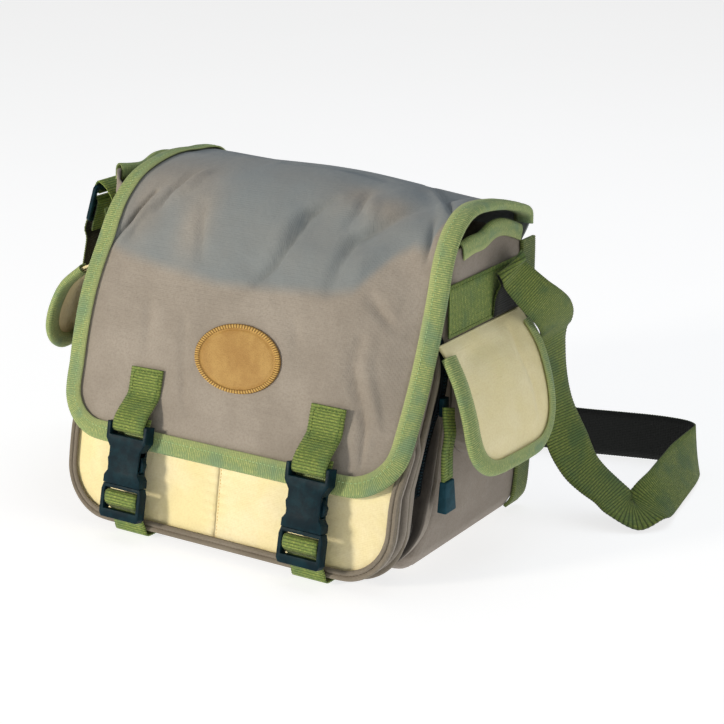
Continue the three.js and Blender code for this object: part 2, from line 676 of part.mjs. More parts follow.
function flapBinding() {
  const edge = [];
  const spot = (q, s) => [q * FLAP_HALF, s * FLAP_LENGTH];
  for (let k = 1; k <= FLAP_DOWN; k += 1) edge.push(spot(-1, (k / FLAP_DOWN) * flapEnd(-1)));
  for (let k = 1; k < FLAP_ACROSS; k += 1) {
    const q = flapAcross(k / FLAP_ACROSS);
    edge.push(spot(q, flapEnd(q)));
  }
  for (let k = FLAP_DOWN; k >= 1; k -= 1) edge.push(spot(1, (k / FLAP_DOWN) * flapEnd(1)));
  const at = (x, down) => flapPoint(x / FLAP_HALF, down / FLAP_LENGTH);
  return foldedTape(edge, at, spot(0, 0.55), FLAP_BINDING);
}

// The front section and the patch pocket

// Half width at a height of a shape with round lower and upper corners.
function halfAt(z, shape) {
  const { half, low, high, lowCorner, highCorner } = shape;
  const down = Math.min(lowCorner, Math.max(0, low + lowCorner - z));
  const up = Math.min(highCorner, Math.max(0, z - high + highCorner));
  const lowCut = lowCorner - Math.sqrt(lowCorner ** 2 - down ** 2);
  const highCut = highCorner - Math.sqrt(highCorner ** 2 - up ** 2);
  return half - lowCut - highCut;
}

function inset(shape, by) {
  return {
    half: shape.half - by,
    low: shape.low + by,
    high: shape.high - by,
    lowCorner: shape.lowCorner - by,
    highCorner: Math.max(0, shape.highCorner - by),
  };
}

const CORNER_RINGS = 4;

// Heights for the rings: round the corners and at the levels between them.
function ringHeights(shape, levels) {
  const heights = [];
  const lowEnd = shape.low + shape.lowCorner;
  const highEnd = shape.high - shape.highCorner;
  const turn = Math.PI / 2 / CORNER_RINGS;
  for (let k = 0; k <= CORNER_RINGS; k += 1) {
    heights.push(lowEnd - shape.lowCorner * Math.cos(k * turn));
  }
  levels.forEach((z) => {
    if (z > lowEnd + 1 && z < highEnd - 1) heights.push(z);
  });
  if (shape.highCorner > 0) {
    for (let k = 0; k <= CORNER_RINGS; k += 1) {
      heights.push(highEnd + shape.highCorner * Math.sin(k * turn));
    }
  } else {
    heights.push(highEnd);
  }
  return heights;
}

const FRONT_LEVELS = [HEM_Z, 0.4 * BAG_HEIGHT, 0.5 * BAG_HEIGHT, POCKET_TOP];
const FRONT_SHARES = [-1, -0.92, -0.82, -0.72, -0.6, 0, 0.6, 0.72, 0.82, 0.92, 1];

// A pleated ring at one height, from its left front corner across the front.
function frontRing(z, half, pleat, front, back) {
  const pleats = [0, 0.1, 0.25, 0.75, 0.9];
  const folded = [0, 0, 1, 1, 0];
  const points = FRONT_SHARES.map((share) => {
    const x = share * half + FRONT_SHIFT;
    return vec(x, front(x, z), z);
  });
  const side = (sign, k) => {
    const x = sign * half + FRONT_SHIFT;
    return vec(x - sign * pleat * folded[k], mix(front(x, z), back(x, z), pleats[k]), z);
  };
  for (let k = 1; k < pleats.length; k += 1) points.push(side(1, k));
  const flat = back(half, z) === back(0, z);
  const shares = flat ? [1, 0, -1] : [...FRONT_SHARES].reverse();
  shares.forEach((share) => {
    const x = share * half + FRONT_SHIFT;
    points.push(vec(x, back(x, z), z));
  });
  for (let k = pleats.length - 1; k >= 1; k -= 1) points.push(side(-1, k));
  return points;
}

const POCKET_SHAPE = {
  half: HALF + POCKET_OVERHANG,
  low: POCKET_LIFT,
  high: POCKET_TOP,
  lowCorner: POCKET_CORNER,
  highCorner: 0,
};
const SECTION_SHAPE = {
  half: HALF - SECTION_INSET,
  low: SECTION_LIFT,
  high: SECTION_TOP,
  lowCorner: SECTION_CORNER,
  highCorner: SECTION_TOP_CORNER,
};

function pocketFront(x, z) {
  return faceY(x, z) + POCKET_SETBACK;
}

function pocketBack(x, z) {
  const squashed = smooth((z - POCKET_CORNER) / (POCKET_TOP - POCKET_CORNER));
  return pocketFront(x, z) + mix(POCKET_DEPTH, POCKET_TOP_DEPTH, squashed);
}

// Above the pocket the section comes forward to just under the flap.
function sectionFront(x, z) {
  const above = smooth((z - POCKET_TOP) / (SECTION_TOP - POCKET_TOP));
  return mix(pocketBack(x, z) + SEAM_LIFT, faceY(x, z) + SECTION_SETBACK, above);
}

function sectionBack(x, z) {
  return bodyFront(z) - SEAM_LIFT;
}

function pocket() {
  const beyond = 2 * WALL;
  const outer = ringHeights(POCKET_SHAPE, FRONT_LEVELS).map((z) =>
    frontRing(z, halfAt(z, POCKET_SHAPE), POCKET_PLEAT, pocketFront, pocketBack));
  const innerShape = inset(POCKET_SHAPE, WALL);
  const inFront = (x, z) => pocketFront(x, z) + WALL;
  const inBack = (x, z) => pocketBack(x, z) - WALL;
  const inner = ringHeights(innerShape, FRONT_LEVELS).map((z) =>
    frontRing(z, halfAt(z, innerShape), POCKET_PLEAT, inFront, inBack));
  inner.push(inner[inner.length - 1].map((p) => vec(p.x, p.y, p.z + beyond + WALL)));
  return cut(loft(outer), loft(inner));
}

function sectionPleat(z) {
  return SECTION_PLEAT * (1 - smooth((z - PLEAT_TOP) / PLEAT_FADE));
}

function section() {
  const outer = ringHeights(SECTION_SHAPE, FRONT_LEVELS).map((z) =>
    frontRing(z, halfAt(z, SECTION_SHAPE), sectionPleat(z), sectionFront, sectionBack));
  const innerShape = inset(SECTION_SHAPE, WALL);
  const inFront = (x, z) => sectionFront(x, z) + WALL;
  const inBack = (x, z) => sectionBack(x, z) + WALL;
  const inner = ringHeights(innerShape, FRONT_LEVELS).map((z) =>
    frontRing(z, halfAt(z, innerShape), sectionPleat(z), inFront, inBack));
  return cut(loft(outer), loft(inner));
}

// A line down one side of a shape, round its corners, along its bottom and up again.
// t runs from 0 at the upper right to 1 at the upper left.
function uLine(shape, t, inward, top) {
  const corner = shape.lowCorner - inward;
  const half = shape.half - inward;
  const low = shape.low + inward;
  const straight = top - low - corner;
  const arc = (Math.PI / 2) * corner;
  const bottom = 2 * (half - corner);
  const total = 2 * straight + 2 * arc + bottom;
  const side = t <= 0.5 ? 1 : -1;
  const run = (t <= 0.5 ? t : 1 - t) * total;
  if (run <= straight) return { x: side * half, z: top - run };
  if (run <= straight + arc) {
    const angle = (run - straight) / corner;
    const x = side * (half - corner + corner * Math.cos(angle));
    return { x, z: low + corner - corner * Math.sin(angle) };
  }
  const along = run - straight - arc;
  return { x: side * (bottom / 2 - along), z: low };
}

// Flat edging round the pocket's front.
function pocketEdging() {
  const top = HEM_Z + FLAP_CORNER;
  return sheet(40, 1, (u, v, w) => {
    const { x, z } = uLine(POCKET_SHAPE, u, v * EDGING_WIDTH, top);
    const y = pocketFront(x + FRONT_SHIFT, z) - SEAM_LIFT - EDGING_THICKNESS / 2;
    return vec(x + FRONT_SHIFT, y + w * EDGING_THICKNESS, z);
  });
}

// The zip tape over the section's gusset: up one side, across the top and down the other.
function zipLine(t) {
  const shape = { ...SECTION_SHAPE, low: -SECTION_TOP, lowCorner: SECTION_TOP_CORNER };
  const { x, z } = uLine(shape, t, 0, -ZIP_LOW);
  return { x, z: -z };
}

function zipTape() {
  const out = SEAM_LIFT + ZIP_THICKNESS / 2;
  return sheet(32, 1, (u, v, w) => {
    const here = zipLine(u);
    const next = zipLine(u + 0.004);
    const before = zipLine(u - 0.004);
    const normal = new THREE.Vector2(before.z - next.z, next.x - before.x).normalize();
    if (normal.dot(new THREE.Vector2(here.x, here.z - ZIP_LOW)) < 0) normal.negate();
    const lift = out - sectionPleat(here.z) * Math.abs(normal.x) + w * ZIP_THICKNESS;
    const x = here.x + FRONT_SHIFT;
    const y = mix(sectionFront(x, here.z), sectionBack(x, here.z), ZIP_PLACE);
    return vec(x + normal.x * lift, y + (v - 0.5) * ZIP_WIDTH, here.z + normal.y * lift);
  });
}

// Webbing

// A strip of webbing along points, each with the way of its width and its share of width.
function webbing(stations, width, thickness, steps) {
  const line = new THREE.CatmullRomCurve3(stations.map((s) => s.at), false, "centripetal");
  const ways = new THREE.CatmullRomCurve3(stations.map((s) => s.way), false, "catmullrom");
  const last = stations.length - 1;
  return sheet(steps * last, 1, (u, v, w) => {
    const at = line.getPoint(u);
    const along = line.getTangent(u);
    const way = ways.getPoint(u);
    way.addScaledVector(along, -way.dot(along)).normalize();
    const face = along.clone().cross(way);
    const low = Math.min(last - 1, Math.floor(u * last));
    const spread = mix(stations[low].spread, stations[low + 1].spread, smooth(u * last - low));
    return at.addScaledVector(way, (v - 0.5) * width * spread).addScaledVector(face, w * thickness);
  });
}

// Points in the plane of a buckle: y out of the bag is negative and z runs up from its top.
function buckleFrame(x) {
  const y = faceY(x, BUCKLE_TOP);
  const low = BUCKLE_TOP - FEMALE_LENGTH - MALE_LENGTH;
  const tilt = Math.atan2(y - faceY(x, low), BUCKLE_TOP - low);
  return { x, y, z: BUCKLE_TOP, tilt };
}

function fromBuckle(frame, y, z) {
  const c = Math.cos(frame.tilt);
  const s = Math.sin(frame.tilt);
  return vec(frame.x, frame.y + y * c + z * s, frame.z - y * s + z * c);
}

function acrossStations(points) {
  return points.map((at) => ({ at, way: vec(1, 0, 0), spread: 1 }));
}

// Depths in a buckle, measured out from the flap's middle surface.
const BUCKLE_MIDDLE = BUCKLE_BACK + BUCKLE_THICKNESS / 2;
const BUCKLE_BAR_HALF = 2;
const AROUND_BAR = BUCKLE_BAR_HALF + GAP + TAB_THICKNESS / 2;

// The strap sewn on the flap, which loops through the buckle's upper bar.
function closingTab(x) {
  const frame = buckleFrame(x);
  const q = x / FLAP_HALF;
  const lift = WALL / 2 + 2 * GAP + TAB_THICKNESS / 2;
  const points = [0, 0.5, 1].map((t) =>
    offPlainFlap(q, flapDown(q, mix(TAB_TOP, BUCKLE_TOP + 20, t)), lift));
  const slot = -BUCKLE_BAR - BUCKLE_SLOT / 2;
  const loop = [
    [-BUCKLE_BACK - 1, 12],
    [-BUCKLE_MIDDLE - 1.5, 4.5],
    [-BUCKLE_MIDDLE - AROUND_BAR, -1.5],
    [-BUCKLE_MIDDLE - AROUND_BAR + 0.5, slot + 2],
    [-BUCKLE_MIDDLE, slot],
    [-BUCKLE_MIDDLE + AROUND_BAR - 0.5, slot + 2],
    [-BUCKLE_MIDDLE + AROUND_BAR, -1.5],
    [-BUCKLE_BACK, 5],
  ];
  loop.forEach(([y, z]) => points.push(fromBuckle(frame, y, z)));
  return webbing(acrossStations(points), TAB_WIDTH, TAB_THICKNESS, 2);
}

// The strap from the buckle's lower frame, round the pocket's bottom edge.
function lowerStrap(x) {
  const frame = buckleFrame(x);
  const upper = -FEMALE_LENGTH - GAP;
  const local = [
    [-BUCKLE_MIDDLE + AROUND_BAR, upper - 11],
    [-BUCKLE_MIDDLE + AROUND_BAR, upper - 7.2],
    [-BUCKLE_MIDDLE, upper - 5.2],
    [-BUCKLE_MIDDLE - AROUND_BAR, upper - 7.2],
    [-BUCKLE_MIDDLE - AROUND_BAR, upper - 13.4],
    [-BUCKLE_MIDDLE - 1, upper - 16],
    [-BUCKLE_MIDDLE + 2, upper - 18],
    [-BUCKLE_BACK + 0.6, upper - 20],
    [-BUCKLE_BACK + 1.2, upper - 24],
  ];
  const points = local.map(([y, z]) => fromBuckle(frame, y, z));
  const edging = SEAM_LIFT + EDGING_THICKNESS + 2 * GAP;
  const front = pocketFront(x, POCKET_LIFT) - edging - TAB_THICKNESS / 2;
  const under = SECTION_LIFT - GAP - TAB_THICKNESS / 2;
  points.push(vec(x, front - 1.6, POCKET_LIFT + 4));
  points.push(vec(x, front + 0.4, under + 1.6));
  points.push(vec(x, front + 4, under));
  points.push(vec(x, front + 18, under));
  points.push(vec(x, front + 36, under));
  return webbing(acrossStations(points), TAB_WIDTH, TAB_THICKNESS, 2);
}

// Side-release buckles

function mirrored(half) {
  const other = half.map(([x, z]) => [-x, z]).reverse();
  return [...half, ...other];
}

const BUCKLE_SLOT_HALF = TAB_WIDTH / 2 + 2 * GAP;

function buckleFemale() {
  const half = BUCKLE_WIDTH / 2;
  const neck = BUCKLE_NECK / 2;
  const mouth = half - 1.5;
  const outline = [
    [half, 0], [half, -13], [neck, -20], [neck, -38], [mouth, -42], [mouth, -FEMALE_LENGTH],
  ];
  const back = -BUCKLE_BACK;
  const face = back - BUCKLE_THICKNESS;
  const inHalf = neck - BUCKLE_WALL;
  const slotTop = -BUCKLE_BAR;
  const slotLow = slotTop - BUCKLE_SLOT;
  const barBack = -BUCKLE_MIDDLE + BUCKLE_BAR_HALF;
  const barFace = -BUCKLE_MIDDLE - BUCKLE_BAR_HALF;
  return cut(
    plate(mirrored(outline), face, back),
    box(-BUCKLE_SLOT_HALF, BUCKLE_SLOT_HALF, face - 1, back + 1, slotLow, slotTop),
    box(-BUCKLE_SLOT_HALF, BUCKLE_SLOT_HALF, barBack, back + 1, slotTop - 1, 1),
    box(-BUCKLE_SLOT_HALF, BUCKLE_SLOT_HALF, face - 1, barFace, slotTop - 1, 1),
    box(-inHalf, inHalf, face + BUCKLE_WALL, back - BUCKLE_WALL, -FEMALE_LENGTH - 1, -17),
    box(-half, half, face + BUCKLE_WALL, back - BUCKLE_WALL, -37, -21),
  );
}

function buckleMale() {
  const upper = -FEMALE_LENGTH - GAP;
  const lower = -FEMALE_LENGTH - MALE_LENGTH;
  const half = BUCKLE_WIDTH / 2;
  const outline = [[half - 1.5, upper], [half, upper - 5], [half, lower + 3], [half - 2, lower]];
  const back = -BUCKLE_BACK - 1;
  const face = -BUCKLE_BACK - BUCKLE_THICKNESS + 1;
  const barBack = -BUCKLE_MIDDLE + BUCKLE_BAR_HALF;
  const barFace = -BUCKLE_MIDDLE - BUCKLE_BAR_HALF;
  const slot = BUCKLE_SLOT_HALF;
  const frame = cut(
    plate(mirrored(outline), face, back),
    box(-slot, slot, face - 1, back + 1, upper - 7.6, upper - 3),
    box(-slot, slot, face - 1, back + 1, upper - 20, upper - 13.6),
    box(-slot, slot, face - 1, barFace, upper - 14, upper - 7),
    box(-slot, slot, barBack, back + 1, upper - 14, upper - 7),
    box(-slot, slot, barBack, back + 1, lower - 1, upper - 19),
  );
  const prongHalf = BUCKLE_THICKNESS / 2 - BUCKLE_WALL - GAP;
  const prongFace = -BUCKLE_MIDDLE - prongHalf;
  const prongBack = -BUCKLE_MIDDLE + prongHalf;
  const arm = [
    [7.5, upper - 1], [11.3, upper - 1], [11.3, -37.6], [16.4, -34.5], [17.4, -29],
    [14.6, -24], [11, -21.4], [9, -21], [9, -24], [12.4, -29], [11.4, -34], [7.5, -39],
  ];
  const other = arm.map(([x, z]) => [-x, z]).reverse();
  return join(
    frame,
    plate(arm, prongFace, prongBack),
    plate(other, prongFace, prongBack),
    box(-4, 4, prongFace, prongBack, upper - 1, -23),
  );
}

// The leather patch

function patch() {
  return sheet(6, 6, (u, v, w) => {
    const a = 2 * u - 1;
    const b = 2 * v - 1;
    const x = PATCH_X + (PATCH_WIDTH / 2) * a * Math.sqrt(1 - (b * b) / 2);
    const z = PATCH_Z + (PATCH_HEIGHT / 2) * b * Math.sqrt(1 - (a * a) / 2);
    const q = x / FLAP_HALF;
    const lift = WALL / 2 + GAP + PATCH_THICKNESS * (0.5 + w);
    return offPlainFlap(q, flapDown(q, z), lift);
  });
}

// The side panels' own pieces. side is 1 on the right and -1 on the left.

function bandOut(side, z) {
  return Math.abs(bodySide(side, z)) + GAP;
}

function sideBand(side) {
  const low = BAND_Z + riseOf(side);
  const levels = [low, 0.88 * BAG_HEIGHT, low + STRAP_WIDTH].sort((a, b) => a - b);
  return sheet(6, 2, (u, v, w) => {
    const z = levels[Math.round(v * 2)];
    const out = bandOut(side, z) + (w + 0.5) * BAND_THICKNESS;
    return vec(side * out, mix(BAND_FRONT, BAND_BACK, u), z);
  });
}

function mouthBinding(side) {
  const front = bodyFront(BAG_HEIGHT) + BODY_CORNER;
  const back = BACK_Y - BODY_CORNER;
  const top = BAG_HEIGHT + riseOf(side);
  const outer = bodySide(side, top);
  const x = outer - (side * WALL) / 2;
  const edge = [];
  for (let k = 0; k <= SIDE_STEPS; k += 1) {
    const y = mix(front, back, k / SIDE_STEPS);
    edge.push([y, mouthHeight(outer, y)]);
  }
  const lean = (bodySide(side, top) - bodySide(side, top - STRAP_WIDTH)) / STRAP_WIDTH;
  const at = (y, z) => vec(x - (mouthHeight(outer, y) - z) * lean, y, z);
  return foldedTape(edge, at, [mix(front, back, 0.5), 0], MOUTH_BINDING);
}

// Tape over the upright seams at the back corners, standing out behind.
function backBinding(side) {
  const top = (side > 0 ? 0.925 : 1) * BAG_HEIGHT;
  const levels = [0.02, 0.058, 0.14, 0.28, 0.46, 0.62, 0.74, 0.88].map((h) => h * BAG_HEIGHT);
  levels.push(top);
  return sheet(levels.length - 1, 2, (u, v, w) => {
    const z = levels[Math.round(u * (levels.length - 1))];
    const y = bodyBack(z) + mix(-BODY_CORNER - 2, BACK_BINDING, v);
    const x = Math.abs(bodySide(side, z)) + GAP + (w + 0.5) * BACK_BINDING_THICKNESS;
    return vec(side * x, y, z);
  });
}

// Side pockets: patch pockets with a deep gusset, open towards the panel and at the top.

function sideDepth(side) {
  return side > 0 ? RIGHT_POCKET_DEPTH : LEFT_POCKET_DEPTH;
}

function sideShape(side) {
  return {
    half: SIDE_POCKET_LENGTH / 2,
    low: SIDE_POCKET_BOTTOM + riseOf(side),
    high: SIDE_POCKET_TOP + riseOf(side),
    lowCorner: SIDE_POCKET_CORNER,
    highCorner: 0,
  };
}

function sideOut(side, z) {
  const shape = sideShape(side);
  const share = (z - shape.low) / (shape.high - shape.low);
  return readTable(SIDE_POCKET, "height", "out", share) * sideDepth(side);
}

function sideRing(side, z, half, out, into) {
  const middle = SIDE_POCKET_FRONT + SIDE_POCKET_LENGTH / 2;
  const panel = Math.abs(bodySide(side, z)) + GAP;
  const steps = 4;
  const round = 3;
  const points = [vec(side * (panel - into), middle - half, z)];
  points.push(vec(side * (panel + out / 2), middle - half, z));
  points.push(vec(side * (panel + out - round), middle - half, z));
  for (let i = 0; i <= steps; i += 1) {
    const y = mix(middle - half + round, middle + half - round, i / steps);
    points.push(vec(side * (panel + out), y, z));
  }
  points.push(vec(side * (panel + out - round), middle + half, z));
  points.push(vec(side * (panel + out / 2), middle + half, z));
  points.push(vec(side * (panel - into), middle + half, z));
  return points;
}

function sidePocket(side) {
  const shape = sideShape(side);
  const innerShape = inset(shape, WALL);
  innerShape.high = shape.high + WALL;
  const levels = [0.35, 0.5, 0.62, 0.8].map((share) => mix(shape.low, shape.high, share));
  const outer = ringHeights(shape, levels).map((z) =>
    sideRing(side, z, halfAt(z, shape), sideOut(side, z), 0));
  const inner = ringHeights(innerShape, levels).map((z) =>
    sideRing(side, z, halfAt(z, innerShape), sideOut(side, z) - WALL, WALL));
  return cut(loft(outer), loft(inner));
}

// A side pocket's flap, as a surface of u from front to back and v from seam to hem.
function sideFlapPoint(side, u, v) {
  const at = Math.min(1, Math.max(0, v));
  const row = (column) => readTable(SIDE_FLAP, "height", column, at);
  const drop = side > 0 ? RIGHT_FLAP_DROP : LEFT_FLAP_DROP;
  const z = BAND_Z - 2 * GAP - WALL / 2 + riseOf(side) - at * drop;
  const reach = sideDepth(side) + SIDE_FLAP_CLEARANCE;
  const fullness = side > 0 ? 1 : LEFT_FULLNESS;
  const front = -row("front");
  const along = mix(front, 1 + row("back"), u);
  const crown = 1 - 0.3 * (along - 0.5) ** 2;
  const room = mix(GAP, TAPE + TAPE_LIFT + 2 * GAP, smooth(at / SIDE_FLAP[1].height));
  const out = WALL / 2 + room + row("out") ** fullness * reach * crown;
  const y = SIDE_POCKET_FRONT + along * SIDE_POCKET_LENGTH;
  return vec(side * (Math.abs(bodySide(side, z)) + out), y, z);
}

const SIDE_FLAP_ACROSS = 7;

function sideFlapNormal(side, u, v) {
  const surface = (a, b) => sideFlapPoint(side, a, b);
  return outward(surface, u, Math.min(0.98, Math.max(0.02, v)), 0.02).multiplyScalar(side);
}

function sideFlap(side) {
  const rows = SIDE_FLAP.map((row) => row.height);
  return sheet(SIDE_FLAP_ACROSS, rows.length - 1, (u, v, w) => {
    const at = rows[Math.round(v * (rows.length - 1))];
    return sideFlapPoint(side, u, at).addScaledVector(sideFlapNormal(side, u, at), w * WALL);
  });
}

function sideFlapBinding(side) {
  const drop = side > 0 ? RIGHT_FLAP_DROP : LEFT_FLAP_DROP;
  const rows = SIDE_FLAP.map((row) => row.height).slice(1);
  const edge = rows.map((v) => [0, v]);
  for (let k = 1; k < SIDE_FLAP_ACROSS; k += 1) edge.push([k / SIDE_FLAP_ACROSS, 1]);
  rows.reverse().forEach((v) => edge.push([1, v]));
  const widthAt = (v) => {
    const at = Math.min(1, Math.max(0, v));
    return SIDE_POCKET_LENGTH * (1 + readTable(SIDE_FLAP, "height", "front", at)
      + readTable(SIDE_FLAP, "height", "back", at));
  };
  const spots = edge.map(([u, v]) => [(u - 0.5) * widthAt(v), v * drop]);
  const at = (across, down) =>
    sideFlapPoint(side, 0.5 + across / widthAt(down / drop), down / drop);
  return foldedTape(spots, at, [0, drop / 2], SIDE_BINDING);
}

// The shoulder strap, its slider and its anchor tab

const SEAT = 2 * GAP + BAND_THICKNESS + STRAP_THICKNESS / 2;

function strapPoint(row) {
  const x = HALF * row.x + Math.sign(row.x) * SEAT;
  return vec(x, BACK_Y - BAG_DEPTH * row.y, BAG_HEIGHT * row.z);
}

const sliderTop = strapPoint(SLIDER_AT);

// A point in the slider's plane: along runs down it and out is away from the bag.
function fromSlider(along, out) {
  const c = Math.cos(SLIDER_LEAN);
  const s = Math.sin(SLIDER_LEAN);
  return sliderTop.clone().add(vec(-along * s - out * c, 0, -along * c + out * s));
}

function shoulderStrap() {
  const stations = STRAP.map((row) => ({
    at: strapPoint(row),
    way: vec(row.wx, row.wy, row.wz),
    spread: row.spread,
  }));
  const face = STRAP_SLIDER_THICKNESS / 2 + GAP + STRAP_THICKNESS / 2;
  const loop = [
    [41, face + 0.4], [32, face + 0.1], [14, face + 0.1], [11.8, 1.5], [11.8, -1.5],
    [14, -face - 0.1], [32, -face - 0.1], [40, -face - 0.6],
  ];
  loop.forEach(([along, out]) => {
    stations.push({ at: fromSlider(along, out), way: vec(0, 1, 0), spread: 1 });
  });
  return webbing(stations, STRAP_WIDTH, STRAP_THICKNESS, 2);
}

function strapAnchor() {
  const low = BAND_Z + LEFT_RISE + 2;
  const seat = GAP + BAND_THICKNESS / 2;
  const seats = [0, 0.35, 0.7, 0.9].map((t) => {
    const z = low + t * STRAP_WIDTH;
    return vec(-(bandOut(-1, z) + BAND_THICKNESS + seat), sliderTop.y, z);
  });
  const free = ANCHOR.map((row) => vec(HALF * row.x - SEAT, sliderTop.y, BAG_HEIGHT * row.z));
  const over = STRAP_SLIDER_THICKNESS / 2 + GAP + BAND_THICKNESS / 2;
  const loop = [
    [-over - 0.3, -1.2], [-over + 0.3, 1.8], [1.6, over + 0.2], [4.6, over], [6, 0], [5.8, -2.4],
  ].map(([along, out]) => fromSlider(along, out));
  const stations = [...seats, ...free, ...loop].map((at) => ({ at, way: vec(0, 1, 0), spread: 1 }));
  return webbing(stations, STRAP_WIDTH, BAND_THICKNESS, 1);
}

function strapSlider() {
  const half = STRAP_SLIDER_WIDTH / 2;
  const slot = STRAP_WIDTH / 2 + 1;
  const depth = STRAP_SLIDER_THICKNESS / 2;
  const bar = STRAP_SLIDER_BAR;
  const open = (STRAP_SLIDER_LENGTH - 3 * bar) / 2;
  const low = -STRAP_SLIDER_LENGTH;
  const outline = [[half - 2, 0], [half, -2], [half, low + 2], [half - 2, low]];
  return cut(
    plate(mirrored(outline), -depth, depth),
    box(-slot, slot, -depth - 1, depth + 1, -bar - open, -bar),
    box(-slot, slot, -depth - 1, depth + 1, -2 * bar - 2 * open, -2 * bar - open),
  );
}

// The zip's slider, pull and rubber tip on the right

function zipPullPieces() {
  const z = TAB_TOP;
  const top = z + SLIDER_LENGTH / 2;
  const x = SECTION_SHAPE.half + FRONT_SHIFT - sectionPleat(top) + SEAM_LIFT + GAP + ZIP_THICKNESS;
  const y = mix(sectionFront(x, z), sectionBack(x, z), ZIP_PLACE);
  const reach = x + SLIDER_THICKNESS;
  const hang = reach + GAP + PULL_THICKNESS / 2;
  const slider = box(x, reach, y - 4, y + 4, z - SLIDER_LENGTH / 2, z + SLIDER_LENGTH / 2);
  const lineAt = (down) => {
    const out = PULL_OUT * smooth(down / (0.67 * PULL_BEND));
    return vec(hang + out, y - PULL_LEAN * Math.min(down, PULL_BEND), z - down);
  };
  const downs = [0, 0.15 * PULL_LENGTH, 0.35 * PULL_LENGTH, PULL_BEND, PULL_LENGTH];
  const stations = downs.map((down) => ({ at: lineAt(down), way: vec(0, 1, 0), spread: 1 }));
  const pull = webbing(stations, PULL_WIDTH, PULL_THICKNESS, 2);
  const end = lineAt(PULL_LENGTH);
  const outline = [[TIP_WIDTH / 2, 0], [TIP_WIDTH / 2 - 1, -TIP_LENGTH]];
  const tip = plate(mirrored(outline), -TIP_THICKNESS / 2, TIP_THICKNESS / 2);
  tip.rotateZ(Math.PI / 2);
  tip.translate(end.x, end.y, end.z - GAP);
  return { slider, pull, tip };
}

// The bag

const bag = new THREE.Group();

function add(name, geometry, look, parent = bag) {
  geometry.computeVertexNormals();
  const material = new THREE.MeshStandardMaterial({ ...look, metalness: 0, flatShading: true });
  const mesh = new THREE.Mesh(geometry, material);
  mesh.name = name;
  parent.add(mesh);
  return mesh;
}

add("main_body", mainBody(), finish.canvas);
add("flap", flap(), finish.canvas);
add("flap_binding", flapBinding(), finish.tape);
add("front_section", section(), finish.canvas);
add("front_section_zip", zipTape(), finish.plastic);
add("front_pocket", pocket(), finish.beigeCanvas);
add("front_pocket_edging", pocketEdging(), finish.canvas);
add("leather_patch", patch(), finish.leather);

const zip = zipPullPieces();
add("zip_slider", zip.slider, finish.plastic);
add("zip_pull", zip.pull, finish.webbing);
add("zip_pull_tip", zip.tip, finish.plastic);

for (const [word, side] of [["left", -1], ["right", 1]]) {
  const x = TAB_SHIFT + (side * TAB_SPACING) / 2;
  add("closing_tab_" + word, closingTab(x), finish.webbing);
  add("lower_strap_" + word, lowerStrap(x), finish.webbing);
  const frame = buckleFrame(x);
  const buckle = new THREE.Group();
  buckle.position.set(frame.x, frame.y, frame.z);
  buckle.rotation.x = -frame.tilt;
  bag.add(buckle);
  add("buckle_female_" + word, buckleFemale(), finish.plastic, buckle);
  add("buckle_male_" + word, buckleMale(), finish.plastic, buckle);
  add("mouth_binding_" + word, mouthBinding(side), finish.tape);
  add("back_binding_" + word, backBinding(side), finish.tape);
  add("side_band_" + word, sideBand(side), finish.webbing);
  add("side_pocket_" + word, sidePocket(side), finish.canvas);
  add("side_pocket_flap_" + word, sideFlap(side), finish.beigeCanvas);
  add("side_flap_binding_" + word, sideFlapBinding(side), finish.tape);
}

add("shoulder_strap", shoulderStrap(), finish.webbing);
add("strap_anchor_left", strapAnchor(), finish.webbing);
const slider = add("strap_slider", strapSlider(), finish.plastic);
slider.position.copy(sliderTop);
slider.rotation.set(0, SLIDER_LEAN, Math.PI / 2, "YXZ");

export default bag;
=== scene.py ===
# %% [markdown]
# # A canvas fishing bag
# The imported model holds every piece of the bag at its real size, in metres. This lesson dresses
# it: cloth gets its creases, webbing its ribs, tape its stitches and plastic its round edges.
# Each soft piece is read back from the model as a grid of points, so that the fine piece lies
# exactly where the plain one does.

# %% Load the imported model
import json
import math

import bmesh
import bpy
import numpy as np
from mathutils import Matrix, Vector
from mathutils.bvhtree import BVHTree
from mathutils.noise import noise as smooth_noise

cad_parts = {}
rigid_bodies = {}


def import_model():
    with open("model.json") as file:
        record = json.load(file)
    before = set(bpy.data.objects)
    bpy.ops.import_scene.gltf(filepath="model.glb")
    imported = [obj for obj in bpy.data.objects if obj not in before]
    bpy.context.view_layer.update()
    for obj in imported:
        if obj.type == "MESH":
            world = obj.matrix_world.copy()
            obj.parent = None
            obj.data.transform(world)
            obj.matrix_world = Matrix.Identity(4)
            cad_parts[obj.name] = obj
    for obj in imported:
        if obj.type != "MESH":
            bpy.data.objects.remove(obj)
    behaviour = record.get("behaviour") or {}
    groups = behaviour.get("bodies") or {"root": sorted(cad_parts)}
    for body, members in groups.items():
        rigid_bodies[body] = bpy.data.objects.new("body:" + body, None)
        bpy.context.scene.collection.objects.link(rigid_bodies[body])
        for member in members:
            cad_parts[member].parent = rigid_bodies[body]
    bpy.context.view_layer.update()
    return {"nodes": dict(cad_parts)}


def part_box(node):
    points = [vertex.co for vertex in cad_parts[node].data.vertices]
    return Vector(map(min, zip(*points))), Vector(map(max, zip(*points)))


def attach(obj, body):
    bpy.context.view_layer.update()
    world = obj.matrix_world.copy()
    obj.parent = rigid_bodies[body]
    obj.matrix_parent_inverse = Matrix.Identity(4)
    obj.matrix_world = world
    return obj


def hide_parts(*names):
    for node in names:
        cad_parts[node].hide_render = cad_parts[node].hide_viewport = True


for leftover in list(bpy.data.objects):
    bpy.data.objects.remove(leftover)
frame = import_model()
nodes = frame["nodes"]
MM = 0.001

